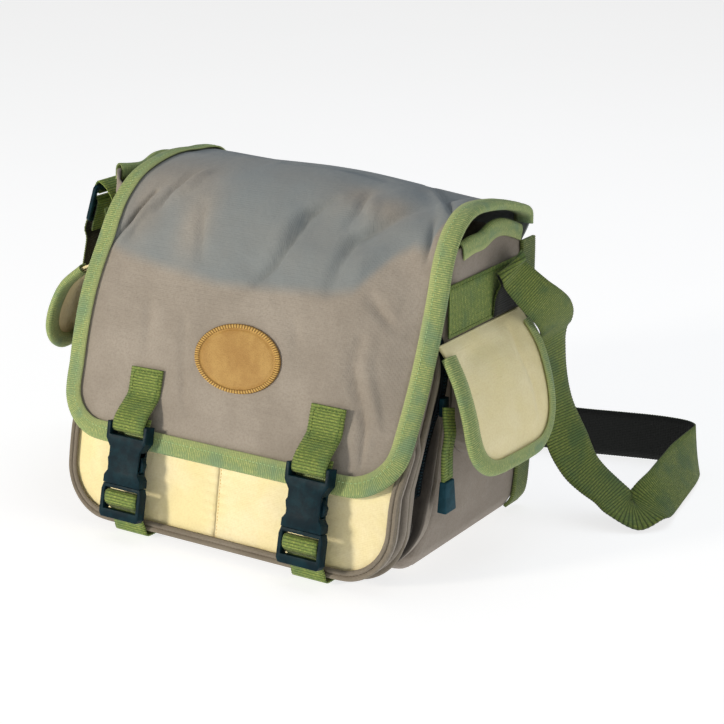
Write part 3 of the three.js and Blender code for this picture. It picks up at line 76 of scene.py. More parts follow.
# %% [markdown]
# ## The camera
# The photograph looks down on the bag from its right. A camera is placed by the point it looks
# at, its bearing, its height above the horizon and its distance. That is easier to correct than
# a place and three angles.

# %% Place the camera
TARGET = Vector((0.06825, 0.0, 0.13868))
BEARING = math.radians(32.152)
RAISED = math.radians(17.819)
ROLL = math.radians(0.135)
DISTANCE = 1.52566
SENSOR = 36.0
FOCAL = 99.45

back = Vector((
    math.sin(BEARING) * math.cos(RAISED),
    -math.cos(BEARING) * math.cos(RAISED),
    math.sin(RAISED),
))
level = Vector((math.cos(BEARING), math.sin(BEARING), 0.0))
right = math.cos(ROLL) * level + math.sin(ROLL) * back.cross(level)
turn = Matrix((right, back.cross(right), back)).transposed()

lens = bpy.data.cameras.new("camera")
lens.sensor_width = SENSOR
lens.lens = FOCAL
lens.clip_end = 50.0
camera = bpy.data.objects.new("camera", lens)
camera.matrix_world = Matrix.Translation(TARGET + back * DISTANCE) @ turn.to_4x4()
bpy.context.scene.collection.objects.link(camera)
bpy.context.scene.camera = camera
print("camera at", [round(v, 3) for v in camera.matrix_world.translation])

# %% [markdown]
# ## Colours and materials
# Colours are noted as sRGB hex codes, as a colour picker gives them, and one function turns them
# to the linear values that shaders want. Another adds a node with its settings and its links.
# Every finish is procedural, with each pattern's scale worked out from a real size.

# %% Helpers for materials
def colour(code):
    """An sRGB hex code as a linear colour."""
    channels = [int(code[i:i + 2], 16) / 255 for i in (1, 3, 5)]
    linear = [c / 12.92 if c <= 0.04045 else ((c + 0.055) / 1.055) ** 2.4 for c in channels]
    return (*linear, 1.0)


def add_node(material, kind, inputs=None, **settings):
    """Adds a node with its settings. An input is a value or another node's output."""
    made = material.node_tree.nodes.new(kind)
    for name, value in settings.items():
        setattr(made, name, value)
    for name, value in (inputs or {}).items():
        if isinstance(value, bpy.types.NodeSocket):
            material.node_tree.links.new(value, made.inputs[name])
        else:
            made.inputs[name].default_value = value
    return made


def new_finish(name, roughness, sheen=0.0, specular=0.5, coat=0.0):
    """A material with its principled shader, and the numbers that are the same all over it."""
    material = bpy.data.materials.new(name)
    material.use_nodes = True
    shader = material.node_tree.nodes["Principled BSDF"]
    shader.inputs["Roughness"].default_value = roughness
    shader.inputs["Sheen Weight"].default_value = sheen
    shader.inputs["Specular IOR Level"].default_value = specular
    shader.inputs["Coat Weight"].default_value = coat
    return material, shader


def link(material, output, socket):
    material.node_tree.links.new(output, socket)


def noise(material, at, size, detail=3.0, rough=0.6):
    """Noise whose features are about `size` metres across."""
    inputs = {"Vector": at, "Scale": 1 / size, "Detail": detail, "Roughness": rough}
    return add_node(material, "ShaderNodeTexNoise", inputs).outputs["Fac"]


def stripes(material, at, axis, pitch, wobble=0.0):
    """Soft stripes across one axis, one each `pitch` metres. A wave repeats in 0.314 / scale."""
    inputs = {"Vector": at, "Scale": math.pi / 10 / pitch, "Distortion": wobble}
    wave = add_node(
        material, "ShaderNodeTexWave", inputs, wave_type="BANDS", bands_direction=axis)
    return wave.outputs["Fac"]


def ramp(material, value, low, high, start=0.0, end=1.0):
    """Maps a value from low..high to start..end, and holds it there."""
    inputs = {"Value": value, "From Min": low, "From Max": high, "To Min": start, "To Max": end}
    made = add_node(material, "ShaderNodeMapRange", inputs, interpolation_type="SMOOTHSTEP")
    return made.outputs["Result"]


def blend_colours(material, share, first, second):
    made = add_node(material, "ShaderNodeMix", {0: share}, data_type="RGBA")
    for place, value in ((6, first), (7, second)):
        if isinstance(value, bpy.types.NodeSocket):
            link(material, value, made.inputs[place])
        else:
            made.inputs[place].default_value = value
    return made.outputs[2]


def combine(material, how, first, second):
    made = add_node(material, "ShaderNodeMath", {0: first, 1: second}, operation=how)
    return made.outputs["Value"]


def relief(material, shader, heights):
    """Stacks bumps: pairs of a height pattern and its real depth in metres."""
    normal = None
    for pattern, depth in heights:
        inputs = {"Height": pattern, "Distance": depth, "Strength": 1.0}
        if normal is not None:
            inputs["Normal"] = normal
        normal = add_node(material, "ShaderNodeBump", inputs).outputs["Normal"]
    link(material, normal, shader.inputs["Normal"])


print("an sRGB grey of 80 is", [round(c, 3) for c in colour("#808080")])

# %% [markdown]
# ### Canvas
# The bag is plain woven polyester canvas, dyed in the yarn. Seen close it is a fine grid of
# threads, and from where the camera stands a matt cloth with a faint grain, paler where it has
# rubbed. The grid comes from three waves in the object's own coordinates: on a face that looks
# along one axis the other two draw the threads. Real threads are 0.5 mm apart, which is finer
# than the render can show, so they are drawn 1.3 mm apart.

# %% Canvas
THREAD = 1.3 * MM
THREAD_DEPTH = 0.05 * MM


def canvas(name, base, worn, dirt, tint=None):
    """tint: the colour of painted light and shade that the piece's own "tint" attribute fades in."""
    material, shader = new_finish(name, roughness=0.88, sheen=0.12, specular=0.25)
    at = add_node(material, "ShaderNodeTexCoord").outputs["Object"]
    cloudy = noise(material, at, 55 * MM)
    mottled = blend_colours(material, ramp(material, cloudy, 0.35, 0.7), colour(base), colour(worn))
    grain = noise(material, at, 1.6 * MM, detail=2.0)
    shade = blend_colours(material, ramp(material, grain, 0.3, 0.9, 0.0, 0.45), mottled, colour(dirt))
    if tint:
        # Painted light and shade, faded in by the "tint" attribute and broken up by the cloudy noise.
        share = add_node(material, "ShaderNodeAttribute", attribute_name="tint").outputs["Fac"]
        patchy = combine(material, "MULTIPLY", share, ramp(material, cloudy, 0.2, 0.8, 0.75, 1.0))
        shade = blend_colours(material, patchy, shade, colour(tint))
    link(material, shade, shader.inputs["Base Color"])
    threads = combine(
        material, "ADD", stripes(material, at, "X", THREAD, 0.6), stripes(material, at, "Z", THREAD, 0.6))
    threads = combine(material, "ADD", threads, stripes(material, at, "Y", THREAD, 0.6))
    crumple = noise(material, at, 14 * MM, detail=2.0)
    relief(material, shader, [(crumple, 1.1 * MM), (threads, THREAD_DEPTH)])
    return material


taupe = canvas("taupe_canvas", "#A0968A", "#ACA397", "#857B70")
# The flap's canvas fades in a painted bluish sky shade where its "tint" attribute is high.
sky_shaded_flap_taupe = canvas("flap_canvas", "#9E9589", "#ABA296", "#857B70", tint="#7B888E")
body_taupe = canvas("body_canvas", "#958B80", "#A1978C", "#7A7065")
edging_taupe = canvas("edging_canvas", "#81786A", "#8D8476", "#6A6154")
# Taupe that fades in near-black painted shade in the folds of the bellows, where its "tint" is high.
painted_shade_taupe = canvas("folded_canvas", "#9A9084", "#A69D91", "#7E7569", tint="#15110F")
beige = canvas("beige_canvas", "#F6E8B2", "#FCF0C4", "#E6D299")
# Beige that fades in dark painted shade where its "tint" is high: in the seam's groove and along the face's
# rim.
painted_shade_beige = canvas("sewn_beige_canvas", "#FAECB4", "#FFF3CA", "#EBD79C", tint="#5E4B2C")
print("canvas is drawn with threads", round(THREAD / MM, 1), "mm apart")

# %% [markdown]
# ### Webbing and tape
# The straps are woven polypropylene webbing with ribs straight across, and the binding is a
# thinner tape of the same kind. Both are strips, so their patterns follow the strip's own UV
# map: u runs across and v along, in metres. The yarn is a mix of yellow and dark green, which
# gives webbing its flecks. The tape was dyed unevenly, and its woven edges are paler.

# %% Webbing and tape
RIB = 2.2 * MM
TAPE_RIB = 1.6 * MM


def woven_strip(name, base, light, dark, pitch, depth, patch=None, inner=None, edge=None):
    """patch: the colour of its uneven stretches. inner: the painted shade of the face that its "tint" marks.
    edge: the paler woven edge that its "tint" marks.
    """
    material, shader = new_finish(name, roughness=0.72, sheen=0.1, specular=0.35)
    at = add_node(material, "ShaderNodeUVMap", uv_map="cloth").outputs["UV"]
    ribs = stripes(material, at, "Y", pitch)
    fleck_at = add_node(
        material, "ShaderNodeMapping", {"Vector": at, "Scale": (1.0, 2.2, 1.0)}).outputs["Vector"]
    flecks = noise(material, fleck_at, 2.8 * MM, detail=3.0, rough=0.7)
    yarn = blend_colours(material, ramp(material, flecks, 0.42, 0.7), colour(base), colour(light))
    if patch:
        broad = noise(material, at, 30 * MM, detail=2.0)
        yarn = blend_colours(material, ramp(material, broad, 0.45, 0.7, 0.0, 0.7), yarn, colour(patch))
    gaps = ramp(material, ribs, 0.02, 0.55, 0.75, 0.0)
    shade = blend_colours(material, gaps, yarn, colour(dark))
    # inner fades in painted shade; edge fades in the paler woven edge.
    if inner or edge:
        share = add_node(material, "ShaderNodeAttribute", attribute_name="tint").outputs["Fac"]
        shade = blend_colours(material, share, shade, colour(inner or edge))
    link(material, shade, shader.inputs["Base Color"])
    rows = stripes(material, at, "X", 1.5 * MM, 0.4)
    relief(material, shader, [(flecks, depth), (ribs, depth), (rows, depth * 0.4)])
    return material


webbing = woven_strip("webbing", "#71893F", "#A9B45A", "#3E5022", RIB, 0.35 * MM, "#587A48")
tape = woven_strip(
    "binding_tape", "#95AB6C", "#C6CB82", "#66784A", TAPE_RIB, 0.22 * MM, "#76997A", edge="#C6D08C")
back_tape = woven_strip("back_tape", "#65763F", "#98A05A", "#39451F", TAPE_RIB, 0.22 * MM, "#55744F")
# The strap's other face is painted near-black: painted shade, which its "tint" marks.
strap_webbing = woven_strip(
    "strap_webbing", "#6C803C", "#96A04E", "#36451E", RIB, 0.4 * MM, "#4F6E42", inner="#0A0E0A")
print("ribs are", round(RIB / MM, 1), "and", round(TAPE_RIB / MM, 1), "mm apart")

# %% [markdown]
# ### Leather, plastic, rubber and thread
# The patch is split leather with a fine pebbled grain, pressed and waxed, darker in its pores.
# Its "tint" marks the thread of the whipped edge: a little of it is painted shade between the wraps, much
# the thread.
# The buckles are moulded acetal: dark, a little glossy, with the faint waviness of a mould.
# The zip pull ends in soft matt rubber, and the zip's tape is dense dark polyester.

# %% Leather
def leather():
    material, shader = new_finish("tan_leather", roughness=0.6, specular=0.4)
    at = add_node(material, "ShaderNodeTexCoord").outputs["Object"]
    cloudy = noise(material, at, 16 * MM, detail=4.0)
    shade = blend_colours(
        material, ramp(material, cloudy, 0.3, 0.7), colour("#A97F3C"), colour("#BC954F"))
    pores = add_node(
        material, "ShaderNodeTexVoronoi", {"Vector": at, "Scale": 1 / (1.1 * MM)}).outputs["Distance"]
    shade = blend_colours(material, ramp(material, pores, 0.0, 0.5, 0.5, 0.0), shade, colour("#8C642C"))
    thread = add_node(material, "ShaderNodeAttribute", attribute_name="tint").outputs["Fac"]
    # Painted shade between the thread's wraps, then the thread itself.
    shade = blend_colours(material, ramp(material, thread, 0.02, 0.25), shade, colour("#83602A"))
    shade = blend_colours(material, ramp(material, thread, 0.35, 0.8), shade, colour("#D6AE60"))
    link(material, shade, shader.inputs["Base Color"])
    relief(material, shader, [(pores, 0.12 * MM), (cloudy, 0.5 * MM)])
    return material


# %% Plastic, rubber, zip and thread
def moulded(name, base, light, roughness, specular=0.5):
    material, shader = new_finish(name, roughness=roughness, specular=specular)
    at = add_node(material, "ShaderNodeTexCoord").outputs["Object"]
    cloudy = noise(material, at, 9 * MM)
    shade = blend_colours(material, ramp(material, cloudy, 0.35, 0.75), colour(base), colour(light))
    link(material, shade, shader.inputs["Base Color"])
    fine = noise(material, at, 0.8 * MM, detail=1.0)
    link(material, ramp(material, fine, 0.3, 0.7, roughness - 0.06, roughness + 0.08),
         shader.inputs["Roughness"])
    relief(material, shader, [(cloudy, 0.25 * MM), (fine, 0.03 * MM)])
    return material


tan_leather = leather()
plastic = moulded("acetal", "#081F28", "#0E2F38", 0.45, specular=0.1)
rubber = moulded("rubber", "#1B3F4A", "#264E5B", 0.6, specular=0.12)
zip_tape = moulded("zip_tape", "#0B1114", "#141C20", 0.8, specular=0.1)
green_thread = moulded("green_thread", "#A7C48A", "#BCD49C", 0.7, specular=0.3)
dark_thread = moulded("dark_thread", "#4A5F2C", "#5F7A36", 0.7, specular=0.3)
brown_thread = moulded("brown_thread", "#5A4A30", "#6E5C3A", 0.7, specular=0.3)
gold_thread = moulded("gold_thread", "#D8AE58", "#E6C377", 0.6, specular=0.3)
print(len(bpy.data.materials), "materials")

# %% [markdown]
# ## Reading a piece of cloth
# Each cloth in the model is a thin closed sheet. Starting from one of its ends, the vertices
# that lie one edge further on make the next ring, and so on to the other end. That gives rows
# of points in order, whatever order the file has them in. Folding each ring onto its own middle
# gives the sheet's middle surface as a grid.

# %% Rings along a sheet
SAME_SPOT = 0.02 * MM


def merged(node):
    """The node's mesh with its doubles merged, in a bmesh."""
    shape = bmesh.new()
    shape.from_mesh(nodes[node].data)
    bmesh.ops.remove_doubles(shape, verts=shape.verts[:], dist=SAME_SPOT)
    shape.normal_update()
    shape.verts.index_update()
    shape.edges.index_update()
    shape.faces.index_update()
    return shape


def end_cap(shape, facing, near):
    """The flat end that faces one way and lies nearest a point."""
    facing = Vector(facing).normalized()
    ends = [f for f in shape.faces if f.normal.dot(facing) > 0.55]
    first = min(ends, key=lambda f: (f.calc_center_median() - Vector(near)).length)
    cap = [first]
    known = {first.index}
    for face in cap:
        for other in [f for edge in face.edges for f in edge.link_faces]:
            if other.index not in known and other.normal.dot(first.normal) > 0.85:
                known.add(other.index)
                cap.append(other)
    return cap


def walk(edges):
    """The vertices of a closed chain of edges, in order."""
    partners = {}
    for edge in edges:
        first, second = edge.verts
        partners.setdefault(first.index, []).append(second)
        partners.setdefault(second.index, []).append(first)
    order = [edges[0].verts[0]]
    here = partners[order[0].index][0]
    while here.index != order[0].index:
        ahead = [v for v in partners[here.index] if v.index != order[-1].index]
        order.append(here)
        here = ahead[0]
    return order


def aligned(ring, before):
    """The ring turned, or reversed and turned, to lie closest to the one before."""
    turns = [np.roll(way, k, axis=0) for way in (ring, ring[::-1]) for k in range(len(ring))]
    return min(turns, key=lambda points: np.linalg.norm(points - before, axis=1).sum())


def stations(node, facing, near):
    """The node's vertices as rings, from the end that faces one way to the other."""
    shape = merged(node)
    cap = end_cap(shape, facing, near)
    known = {f.index for f in cap}
    rim = [e for e in shape.edges if sum(f.index in known for f in e.link_faces) == 1]
    layer = walk(rim)
    rings = [np.array([v.co[:] for v in layer])]
    seen = {v.index for f in cap for v in f.verts}
    while True:
        last = {v.index for v in layer}
        ahead = {e.other_vert(v).index for v in layer for e in v.link_edges} - seen
        if not ahead:
            break
        joining = [
            e for e in shape.edges
            if all(v.index in ahead for v in e.verts)
            and any(v.index in last for f in e.link_faces for v in f.verts)
        ]
        layer = walk(joining)
        seen |= ahead
        rings.append(aligned(np.array([v.co[:] for v in layer]), rings[-1]))
    shape.free()
    return np.array(rings)


def folded(rings):
    """The two sides of a sheet's rings, each running from the same edge to the other."""
    half = rings.shape[1] // 2

    def rim_width(start):
        turned = np.roll(rings, -start, axis=1)
        first = turned[:, 0] - turned[:, -1]
        second = turned[:, half] - turned[:, half - 1]
        return np.linalg.norm(first, axis=1).sum() + np.linalg.norm(second, axis=1).sum()

    turned = np.roll(rings, -min(range(half), key=rim_width), axis=1)
    return turned[:, :half], turned[:, :half - 1:-1]


def middle_of(rings):
    """The middle of a sheet: rows of points from edge to edge, none closer than half a mm."""
    first, second = folded(rings)
    middle = (first + second) / 2
    apart = np.linalg.norm(np.diff(middle, axis=1), axis=2).mean(axis=0)
    wanted = [0, *(k for k in range(1, middle.shape[1] - 1) if min(apart[k - 1:k + 1]) > 0.5 * MM), -1]
    return middle[:, wanted]


def wall_of(rings):
    """The thickness of a sheet."""
    first, second = folded(rings)
    return np.linalg.norm(first - second, axis=2).mean()


flap_rows = middle_of(stations("flap", (0, 0, -1), (0, 0.11, 0.22)))
print("the flap is", flap_rows.shape[0], "rows of", flap_rows.shape[1], "points")

# %% [markdown]
# ## From a grid to fine cloth
# A Catmull-Rom curve passes through all its points and needs no handles, so it is a good way to
# read a coarse grid at a finer spacing. The fine grid becomes a mesh with bmesh: a flat grid is
# moved onto the points, and then solidified to the cloth's thickness.

# %% Fine grids
def weights(count, spots):
    """Rows of Catmull-Rom weights that read `count` points at fractional numbers."""
    spots = np.clip(np.asarray(spots, float), 0, count - 1)
    low = np.minimum(spots.astype(int), count - 2)
    t = spots - low
    curve = (
        (-t + 2 * t**2 - t**3) / 2,
        (2 - 5 * t**2 + 3 * t**3) / 2,
        (t + 4 * t**2 - 3 * t**3) / 2,
        (t**3 - t**2) / 2,
    )
    table = np.zeros((len(spots), count))
    for k, share in enumerate(curve):
        for row, at in enumerate(low + k - 1):
            if at < 0:
                table[row, 0] += 2 * share[row]
                table[row, 1] -= share[row]
            elif at >= count:
                table[row, -1] += 2 * share[row]
                table[row, -2] -= share[row]
            else:
                table[row, at] += share[row]
    return table


def resampled(points, rows, columns):
    """The same surface with other numbers of rows and columns."""
    down = weights(len(points), np.linspace(0, len(points) - 1, rows))
    across = weights(points.shape[1], np.linspace(0, points.shape[1] - 1, columns))
    return np.einsum("rn,cm,nmk->rck", down, across, points)


def lengths(line):
    """Length along a line of points, from 0."""
    steps = np.linalg.norm(np.diff(line, axis=0), axis=1)
    return np.concatenate([[0.0], np.cumsum(steps)])


def evened(points, step):
    """The same surface with its rows an even step apart, measured along its middle."""
    along = lengths(points.mean(axis=1))
    rows = max(3, round(along[-1] / step) + 1)
    wanted = np.linspace(0, along[-1], rows)
    spots = np.interp(wanted, along, np.arange(len(points)))
    return np.einsum("rn,nck->rck", weights(len(points), spots), points)


def normals_of(points):
    down = np.gradient(points, axis=0)
    across = np.gradient(points, axis=1)
    normal = np.cross(across, down)
    return normal / np.maximum(np.linalg.norm(normal, axis=2, keepdims=True), 1e-12)


def facing_out(points, out):
    """Turns a grid so that its normals point the given way on the whole."""
    way = (normals_of(points) * np.asarray(out, float)).sum()
    return points if way > 0 else points[:, ::-1]


# %% Grids to meshes
def keep(shape, name, material, replaced=()):
    """Makes an object of a bmesh: smooth, in place, riding on the bag."""
    mesh = bpy.data.meshes.new(name)
    for face in shape.faces:
        face.smooth = True
    shape.to_mesh(mesh)
    shape.free()
    mesh.materials.append(material)
    piece = bpy.data.objects.new(name, mesh)
    bpy.context.scene.collection.objects.link(piece)
    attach(piece, "root")
    if replaced:
        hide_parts(*replaced)
    return piece


def grid_mesh(points, thickness, tint=None, around=False):
    """A sheet over a grid of points, with UVs in metres and the cloth's thickness.

    tint: a number for each point, kept as the "tint" attribute that some finishes read.
    """
    rows, columns = points.shape[:2]
    across = lengths(points[rows // 2])
    along = lengths(points[:, columns // 2])
    shape = bmesh.new()
    bmesh.ops.create_grid(shape, x_segments=columns - 1, y_segments=rows - 1, size=0.5)
    spot = shape.verts.layers.float_vector.new("spot")
    for vert in shape.verts:
        column = round((vert.co.x + 0.5) * (columns - 1))
        row = round((vert.co.y + 0.5) * (rows - 1))
        vert.co = points[row, column]
        vert[spot] = (across[column], along[row], 0.0 if tint is None else tint[row, column])
    if around:
        bmesh.ops.remove_doubles(shape, verts=shape.verts[:], dist=SAME_SPOT)
    shape.normal_update()
    if thickness:
        for vert in shape.verts:
            vert.co += vert.normal * thickness / 2
        bmesh.ops.solidify(shape, geom=shape.faces[:], thickness=thickness)
    bmesh.ops.recalc_face_normals(shape, faces=shape.faces[:])
    cloth_map = shape.loops.layers.uv.new("cloth")
    for face in shape.faces:
        for corner in face.loops:
            corner[cloth_map].uv = corner.vert[spot][:2]
    if tint is not None:
        copy_tint(shape)
    return shape


def copy_tint(shape):
    """Copies the third number of each spot to the "tint" attribute."""
    spot = shape.verts.layers.float_vector["spot"]
    tint = shape.verts.layers.float.get("tint") or shape.verts.layers.float.new("tint")
    for vert in shape.verts:
        vert[tint] = vert[spot][2]


def ribbed(shape, pitch, depth):
    """Raises the ribs of webbing: a wave along the strip on both of its faces."""
    shape.normal_update()
    spot = shape.verts.layers.float_vector["spot"]
    moves = [math.cos(2 * math.pi * v[spot][1] / pitch) * depth for v in shape.verts]
    for vert, move in zip(shape.verts, moves):
        vert.co += vert.normal * move
    return shape


test = grid_mesh(np.array([[[0, 0, 0], [1, 0, 0]], [[0, 1, 0], [1, 1, 0]]], float), 0.1)
test_heights = [round(v.co.z, 3) for v in test.verts]
print("a test sheet lies between", min(test_heights), "and", max(test_heights))
test.free()

# %% [markdown]
# ## The flap
# On the real bag the flap is one wide piece of canvas that hangs over the front. The model has
# its big folds. The smaller creases are pressed in here: each runs along a few points given as
# x and the length up from the hem, and sinks or stands proud by a bell curve across its line.
# They fade out near the edge, where the binding holds the cloth, and under the patch and tabs.

# %% Creases of the flap
FLAP_THICKNESS = 2.0 * MM
FLAP_ROWS = 190
FLAP_COLUMNS = 150
CREASE_GAIN = 2.1
CREASE_WIDTH = 0.62
PATCH_KEEP = (0.048, 0.032)

# Points are (x, up) in millimetres, then the half width and the depth of the crease. The two
# numbers above deepen and narrow all of them.
FLAP_CREASES = [
    ([(-120, 198), (-135, 164), (-150, 134)], 3.4, 2.4),
    ([(-112, 200), (-127, 168), (-143, 140)], 6.0, -1.8),
    ([(-69, 195), (-62, 170), (-55, 148)], 6.0, 1.6),
    ([(-86, 230), (-90, 207), (-104, 192)], 6.0, -2.2),
    ([(-98, 226), (-102, 209), (-112, 184)], 4.5, 2.2),
    ([(40, 216), (24, 200), (20, 178), (12, 156), (-2, 138)], 5.5, 2.6),
    ([(28, 214), (12, 198), (8, 176), (-2, 156)], 9.0, -1.5),
    ([(61, 232), (64, 210), (60, 194)], 5.0, 2.2),
    ([(72, 226), (78, 206), (76, 194)], 6.0, -1.6),
    ([(108, 222), (89, 198), (70, 185), (66, 164), (64, 142)], 9.0, 3.0),
    ([(100, 186), (86, 170), (84, 152)], 8.0, -1.6),
    ([(127, 209), (131, 192), (134, 176)], 4.5, 2.4),
    ([(74, 300), (104, 262), (124, 235), (148, 206)], 4.0, 3.0),
    ([(116, 254), (128, 264), (146, 276)], 4.0, 2.2),
    ([(92, 276), (112, 246), (130, 220)], 8.0, -1.6),
    ([(100, 112), (98, 92), (106, 71), (116, 50), (121, 16)], 4.5, 1.8),
    ([(108, 112), (108, 92), (117, 71), (127, 48)], 6.0, -1.2),
    ([(98, 145), (108, 134), (121, 124)], 7.0, 1.6),
    ([(-56, 104), (-48, 70), (-41, 36)], 5.0, 1.4),
    ([(-92, 112), (-84, 72)], 7.0, 1.1),
    ([(-30, 262), (10, 270), (60, 262)], 12.0, 1.6),
    ([(-60, 300), (-20, 330), (40, 322)], 12.0, 2.2),
    ([(40, 120), (52, 86)], 8.0, 0.9),
]


def press(points, places, creases):
    """How far a grid's points move along their normals. places has two numbers for each, in metres."""
    move = np.zeros(points.shape[:2])
    for route, spread, depth in creases:
        route = np.array(route, float) * MM
        away = np.full(points.shape[:2], np.inf)
        taper = np.ones(points.shape[:2])
        total = lengths(route)[-1]
        done = 0.0
        for start, end in zip(route[:-1], route[1:]):
            run = end - start
            t = np.clip(((places - start) @ run) / (run @ run), 0, 1)
            gap = np.linalg.norm(places - start - t[..., None] * run, axis=2)
            nearer = gap < away
            share = (done + t * np.linalg.norm(run)) / total
            away = np.where(nearer, gap, away)
            taper = np.where(nearer, np.sin(math.pi * (0.12 + 0.76 * share)), taper)
            done += np.linalg.norm(run)
        move -= depth * MM * taper * np.exp(-(away / (spread * MM)) ** 2)
    return move


def fade(value, low, high):
    t = np.clip((value - low) / (high - low), 0, 1)
    return t * t * (3 - 2 * t)


# %% The flap's cloth
flap_rows = facing_out(flap_rows, (0, -1, 1))
flap_fine = resampled(flap_rows, FLAP_ROWS, FLAP_COLUMNS)
flap_half = np.abs(flap_fine[..., 0]).max()
flap_up = np.array([lengths(flap_fine[::-1, k])[::-1] for k in range(FLAP_COLUMNS)]).T
corner_rise = flap_fine[-1, :, 2] - flap_fine[-1, FLAP_COLUMNS // 2, 2]
flap_places = np.stack([flap_fine[..., 0], flap_up + corner_rise[None, :]], axis=2)
creases = [(route, spread * CREASE_WIDTH, depth) for route, spread, depth in FLAP_CREASES]
flap_move = CREASE_GAIN * press(flap_fine, flap_places, creases)

patch_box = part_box("leather_patch")
patch_middle = np.array((patch_box[0] + patch_box[1]) / 2)
patch_gap = np.hypot(
    (flap_fine[..., 0] - patch_middle[0]) / PATCH_KEEP[0],
    (flap_fine[..., 2] - patch_middle[2]) / PATCH_KEEP[1])
tab_keep = np.ones(flap_fine.shape[:2])
for side in ("left", "right"):
    low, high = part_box("closing_tab_" + side)
    beside = np.abs(flap_fine[..., 0] - (low.x + high.x) / 2)
    above = flap_fine[..., 2] - high.z
    tab_keep *= 1 - (1 - fade(beside, 0.017, 0.027)) * (1 - fade(above, 0.0, 0.012))
from_side = flap_half - np.abs(flap_fine[..., 0])
edge_keep = fade(from_side, 0.008, 0.026) * fade(flap_up, 0.01, 0.026)
flap_move *= edge_keep * tab_keep * fade(patch_gap, 0.85, 1.25)
flap_fine = flap_fine + normals_of(flap_fine) * flap_move[..., None]
print("creases move the flap by", round(flap_move.min() / MM, 1), "to", round(flap_move.max() / MM, 1), "mm")

# %% [markdown]
# The upper part of the flap catches the sky and looks bluish, the lower part the warm low sun,
# with an uneven border across the front. The lights give a part of that. A painted bluish sky
# shade that follows the same border gives the rest, kept as an attribute of the cloth, with
# painted sunlit patches where folds face the sun.

# %% The flap's tint
PAINTED_SKY_SHARE = 0.8
# Height of the painted sky shade's border above the hem along x, in millimetres.
PAINTED_SKY_BORDER = [
    (-150, 150), (-125, 142), (-97, 138), (-36, 131), (14, 134), (67, 138), (86, 143), (96, 158),
    (108, 176), (120, 184), (132, 182), (138, 205), (150, 232),
]
# Painted sunlit patches in the painted bluish sky shade: x, up, and their half sizes.
PAINTED_SUN_PATCHES = [
    (-124, 200, 20, 46), (-92, 218, 24, 22), (-70, 178, 16, 34), (88, 214, 18, 13), (58, 226, 16, 14),
]


# Share of painted sky shade at each point of the flap, less in the painted sunlit patches.
def painted_sky_at(x, up):
    border_x, border_up = np.array(PAINTED_SKY_BORDER, float).T * MM
    share = fade(up - np.interp(x, border_x, border_up), -0.005, 0.009)
    for middle_x, middle_up, half_x, half_up in np.array(PAINTED_SUN_PATCHES, float) * MM:
        far = np.hypot((x - middle_x) / half_x, (up - middle_up) / half_up)
        share = share * (1 - 0.7 * np.exp(-far**2))
    return share


# Painted sky shade on the flap's upper part, kept as its "tint" attribute.
flap_painted_sky = PAINTED_SKY_SHARE * painted_sky_at(flap_places[..., 0], flap_places[..., 1])
cloth = grid_mesh(flap_fine, FLAP_THICKNESS, tint=flap_painted_sky)
flap = keep(cloth, "flap_cloth", sky_shaded_flap_taupe, ["flap"])
print("flap:", len(flap.data.polygons), "faces")

# %% [markdown]
# ## Binding tape
# The raw edges of the flap, the mouth and the pocket flaps are wrapped in ribbed tape folded
# in half and sewn through. Each tape is read from the model as rings round its own section, so
# its fold can be rounded and its ribs can follow it. Stitches are small ellipsoids in a row
# near the tape's inner edge, one mesh for each piece.

# %% Stitches
def stitch_row(shape, line, normals, pitch, size):
    """Adds stitches along a line. size: length, width and height of one stitch."""
    along = lengths(line)
    count = max(1, int(along[-1] / pitch))
    spots = (np.arange(count) + 0.5) * along[-1] / count
    at = np.stack([np.interp(spots, along, line[:, k]) for k in range(3)], axis=1)
    up = np.stack([np.interp(spots, along, normals[:, k]) for k in range(3)], axis=1)
    ways = np.gradient(line, axis=0)
    way = np.stack([np.interp(spots, along, ways[:, k]) for k in range(3)], axis=1)
    for place, forward, out in zip(at, way, up):
        forward = Vector(forward).normalized()
        out = Vector(out).normalized()
        side = out.cross(forward).normalized()
        out = forward.cross(side)
        frame_of = Matrix((forward * size[0], side * size[1], out * size[2])).transposed()
        where = Matrix.Translation(Vector(place)) @ frame_of.to_4x4()
        bmesh.ops.create_uvsphere(shape, u_segments=6, v_segments=4, radius=0.5, matrix=where)


# %% Tape from a node
TAPE_STEP = 0.5 * MM
TAPE_COLUMNS = 11
TAPE_THICKNESS = 1.2 * MM
TAPE_RELIEF = 0.12 * MM
SELVEDGE = 0.6
STITCH_PITCH = 3.4 * MM
STITCH = (2.5 * MM, 0.75 * MM, 0.7 * MM)


def first_leg_shows(points, out):
    """Whether the first columns of a folded tape are the leg that faces the given way."""
    return (normals_of(points[:, :5]) * np.asarray(out, float)).sum() > 0


def tape_piece(node, facing, near, out):
    """Rebuilds one folded tape, with its ribs and the stitches on its outer leg."""
    rows = middle_of(stations(node, facing, near))
    smooth = evened(resampled(rows, 6 * len(rows), TAPE_COLUMNS), TAPE_STEP)
    smooth = smooth if first_leg_shows(smooth, out) else smooth[:, ::-1]
    leg = 1 if first_leg_shows(smooth, out) else -2
    selvedge = np.zeros(smooth.shape[:2])
    selvedge[:, [0, -1]] = SELVEDGE
    made = ribbed(grid_mesh(smooth, TAPE_THICKNESS, tint=selvedge), TAPE_RIB, TAPE_RELIEF)
    piece = keep(made, node + "_tape", tape, [node])
    normal = normals_of(smooth)[:, leg]
    line = smooth[:, leg] + normal * TAPE_THICKNESS / 2
    seam = bmesh.new()
    stitch_row(seam, line[4:-4], normal[4:-4], STITCH_PITCH, STITCH)
    keep(seam, node + "_stitches", green_thread)
    return piece


